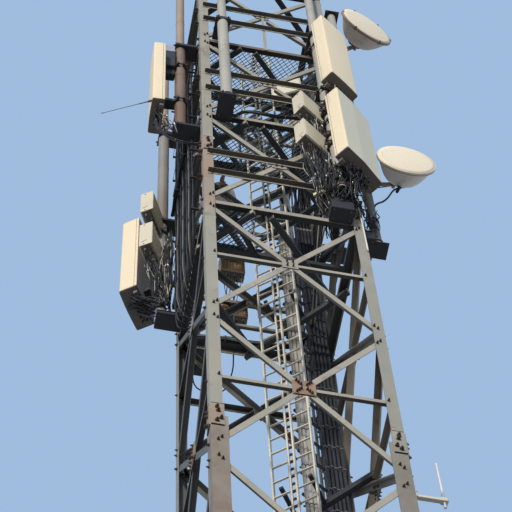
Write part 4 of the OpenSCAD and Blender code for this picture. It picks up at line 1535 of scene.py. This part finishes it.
def side_rod():
    """Thin rod out of the side of the upper left panel, with a clamp."""
    shape = Shape(AXIS @ move(-1.48, -0.83, 12.2) @ turn(-25) @ turn(-90, "Y"))
    shape.soft = True
    shape.turned([(0.008, 0), (0.008, 0.16), (0.005, 0.17), (0.0038, 0.60), (0.006, 0.605),
                  (0.006, 0.63)], sides=12)
    shape.soft = False
    shape.index = 1
    shape.box((-0.014, -0.012, 0.0), (0.014, 0.012, 0.05), bevel=0.003)
    shape.build("side_rod_parts", [MATERIALS["rod_steel"], CAP_DARK], "rod_steel", "side_rod")


# Where the leads of each group of radios and of each panel come together, and how many leave it
RADIO_MEETS = {"right_radio_units": (0.430, -0.900, 9.95),
               "left_radio_units": (-1.150, 0.480, 9.90),
               "rear_radio_units": (-0.240, 0.900, 9.60)}
PANEL_MEETS = {"right_lower_panel": ((0.70, -1.06, 9.50), 12),
               "left_lower_panel": ((-1.22, 0.66, 9.53), 12),
               "right_upper_panel": ((0.60, -1.03, 12.02), 8),
               "left_upper_panel": ((-1.31, -0.70, 11.6), 8)}


def jitter(rng, *spans):
    """A small random offset, with one span for each axis."""
    return Vector([rng.uniform(*span) for span in spans])


def plugged_lead(shape, start, points, plug_length, plug_r):
    """A thin lead through some points, in a sleeve where it leaves its plug."""
    shape.tube(smooth_line(points, 0.06 if plug_r < 0.01 else 0.05), 0.0055, 6)
    shape.index = 0
    shape.tube([start + Vector((0, 0, 0.01)), start - Vector((0, 0, plug_length))], plug_r, 8)


def radio_drops(shape, rng):
    """Leads that hang from the plugs of the radios."""
    for name, meet in RADIO_MEETS.items():
        for place, bearing, (depth, width, height) in RADIOS[name]:
            base = move(*place) @ turn(bearing)
            for x, y in radio_plugs(width):
                start = base @ Vector((x, y, -0.045))
                end = Vector(meet) + jitter(rng, (-0.02, 0.02), (-0.02, 0.02), (-0.05, 0.1))
                drop = Vector((0, 0, -0.12 - 0.1 * rng.random()))
                mid = start.lerp(end, 0.5) + Vector((rng.uniform(-0.04, 0.04), 0.03,
                                                     rng.uniform(-0.04, 0.04)))
                shape.index = 1 if rng.random() < 0.25 else 0
                plugged_lead(shape, start, [start, start + drop, mid, end], 0.04, 0.0095)


def panel_drops(shape, rng):
    """Leads that hang from the connectors of the panels."""
    for name, (meet, count) in PANEL_MEETS.items():
        place, bearing, (depth, width, height) = PANELS[name][:3]
        base = move(*place) @ turn(bearing)
        half = count // 2
        for k in range(count):
            x = -depth / 2 + 0.045 + (0.055 if k < half else 0)
            y = (k % half - (half - 1) / 2) * PLUG_PITCH
            start = base @ Vector((x, y, -0.03))
            end = Vector(meet) + jitter(rng, (-0.03, 0.03), (-0.03, 0.03), (-0.03, 0.05))
            mid = start.lerp(end, 0.55) + jitter(rng, (-0.05, 0.05), (-0.03, 0.03), (-0.05, -0.14))
            shape.index = 1 if rng.random() < 0.1 else 0
            drop = Vector((0, 0, -0.07 - 0.04 * rng.random()))
            plugged_lead(shape, start, [start, start + drop, mid, end], 0.045, 0.0105)


def strand_drops():
    """Thin leads from the plugs of each radio and panel to where their bundle begins."""
    rng = random.Random(11)
    shape = Shape(AXIS)
    shape.soft = True
    radio_drops(shape, rng)
    panel_drops(shape, rng)
    shape.build("strand_drops", [BLACK, CABLE_PALE], "cable_black")


def small_boxes():
    """Cream unit on a drop pipe below the top deck, yellow cable tag and cases behind a panel."""
    shape = Shape(AXIS @ move(0.338, -0.506, 14.20) @ turn(-116))
    radio_body(shape, (0.165, 0.395, 0.50))
    shape.place = AXIS
    shape.index = 3
    shape.rod((0.385, -0.39, 14.05), (0.385, -0.39, 15.0), 0.024, 12)
    for z in (14.32, 14.58):
        shape.box((-0.05, -0.015, -0.02), (0.05, 0.015, 0.02), move(0.375, -0.41, z) @ turn(-26))
    shape.index = 2
    shape.box((-0.062, -0.012, -0.03), (0.062, 0.012, 0.03),
              move(0.390, -0.970, 9.52) @ turn(-34.5), bevel=0.004)
    behind_panel = move(*LEFT_FRONT_PIPE, 0) @ turn(178)
    shape.index = 3
    shape.box((0.072, -0.10, 14.10), (0.222, 0.105, 14.72), behind_panel, bevel=0.01)
    shape.box((0.072, -0.05, 13.92), (0.21, 0.05, 14.1), behind_panel, bevel=0.01)
    shape.index = 4
    shape.box((0.075, -0.06, 14.76), (0.215, 0.09, 15.0), behind_panel, bevel=0.006)
    # The cream unit also takes the greener copy of the panel paint, which is painted shade
    mats = [PANEL_SHADE_GREEN, CAP_DARK, TAG_YELLOW, DARK, BRIGHT]
    shape.build("small_boxes", mats, "radio_case")


def build_all():
    """Every piece of the scene."""
    for make in (legs, splice_plates, node_bolts, crossing_plates, splice_bolts, base_details):
        make()
    for name in GRATINGS:
        grating(name)
    for make in (rail_details, ladder_details, feeder_clips, grey_clips, jumper_bundles,
                 strand_drops):
        make()
    for name in PANELS:
        panel(name)
    for name in RADIOS:
        radios(name)
    for make in (build_dishes, pipe_details, bracket_details, clamps, dish_arms, feeder_tails,
                 left_run, tangle, deck_stiffener, whip, side_rod, small_boxes):
        make()


build_all()


# Stage: a floor that the low camera looks through, a pale world and one soft sun

FLOOR_HALF = 60
BACKGROUND = (0.35, 0.505, 0.73, 1)
# Light of the world from straight below to straight above
WORLD_STOPS = ((0.30, (0.21, 0.205, 0.21)), (0.47, (0.21, 0.205, 0.21)),
               (0.54, (0.72, 0.72, 0.68)), (1.0, (0.42, 0.50, 0.62)))
SUN_DIRECTION = (0.45, 0.80, -0.42)
SUN_STRENGTH, SUN_SPREAD, SUN_COLOUR = 2.9, 6, (1.0, 0.92, 0.80)


def seen_rays(add):
    """One for camera, glossy and transmission rays, and nought for the light that spreads."""
    rays = add("ShaderNodeLightPath").outputs
    seen = rays["Is Camera Ray"]
    for name in ("Is Glossy Ray", "Is Transmission Ray"):
        seen = maths(add, "MAXIMUM", seen, rays[name])
    return seen


def make_floor():
    """A wide floor that shows from above and is clear from below."""
    mesh = bpy.data.meshes.new("floor")
    ends = [(x, y, -0.001) for x, y in corners(FLOOR_HALF, FLOOR_HALF)]
    mesh.from_pydata(ends, [], [(0, 2, 3, 1)])
    floor = bpy.data.objects.new("floor", mesh)
    bpy.context.scene.collection.objects.link(floor)
    mat, tree, main, add = shader("floor")
    main.inputs["Base Color"].default_value = (0.62, 0.64, 0.66, 1)
    main.inputs["Roughness"].default_value = 0.9
    back = add("ShaderNodeNewGeometry").outputs["Backfacing"]
    shown = maths(add, "MULTIPLY", maths(add, "SUBTRACT", 1, back), seen_rays(add))
    clear = add("ShaderNodeBsdfTransparent").outputs[0]
    both = add("ShaderNodeMixShader", {0: shown, 1: clear, 2: main.outputs[0]})
    tree.links.new(both.outputs[0], tree.nodes["Material Output"].inputs[0])
    mesh.materials.append(mat)


def make_world():
    """Pale light that comes mostly from the horizon up, behind a plain blue that is only seen."""
    world = bpy.data.worlds.new("world")
    bpy.context.scene.world = world
    world.use_nodes = True
    add = adder(world.node_tree)
    height = add("ShaderNodeSeparateXYZ", {0: add("ShaderNodeTexCoord").outputs["Generated"]})
    light = add("ShaderNodeValToRGB", {0: span(add, height.outputs["Z"], -1, 1)})
    for k, (t, colour) in enumerate(WORLD_STOPS):
        stop = light.color_ramp.elements[k] if k < 2 else light.color_ramp.elements.new(t)
        stop.position, stop.color = t, (*colour, 1)
    pick = mix(add, seen_rays(add), light.outputs[0], BACKGROUND)
    world.node_tree.links.new(pick, world.node_tree.nodes["Background"].inputs[0])


def make_sun():
    """One soft sun from the left, behind the camera."""
    sun = bpy.data.objects.new("sun", bpy.data.lights.new("sun", "SUN"))
    bpy.context.scene.collection.objects.link(sun)
    sun.data.energy, sun.data.angle = SUN_STRENGTH, math.radians(SUN_SPREAD)
    sun.data.color = SUN_COLOUR
    sun.rotation_mode = "QUATERNION"
    sun.rotation_quaternion = Vector(SUN_DIRECTION).to_track_quat("-Z", "Y")


make_floor()
make_world()
make_sun()
scene = bpy.context.scene
scene.view_settings.view_transform = "Standard"
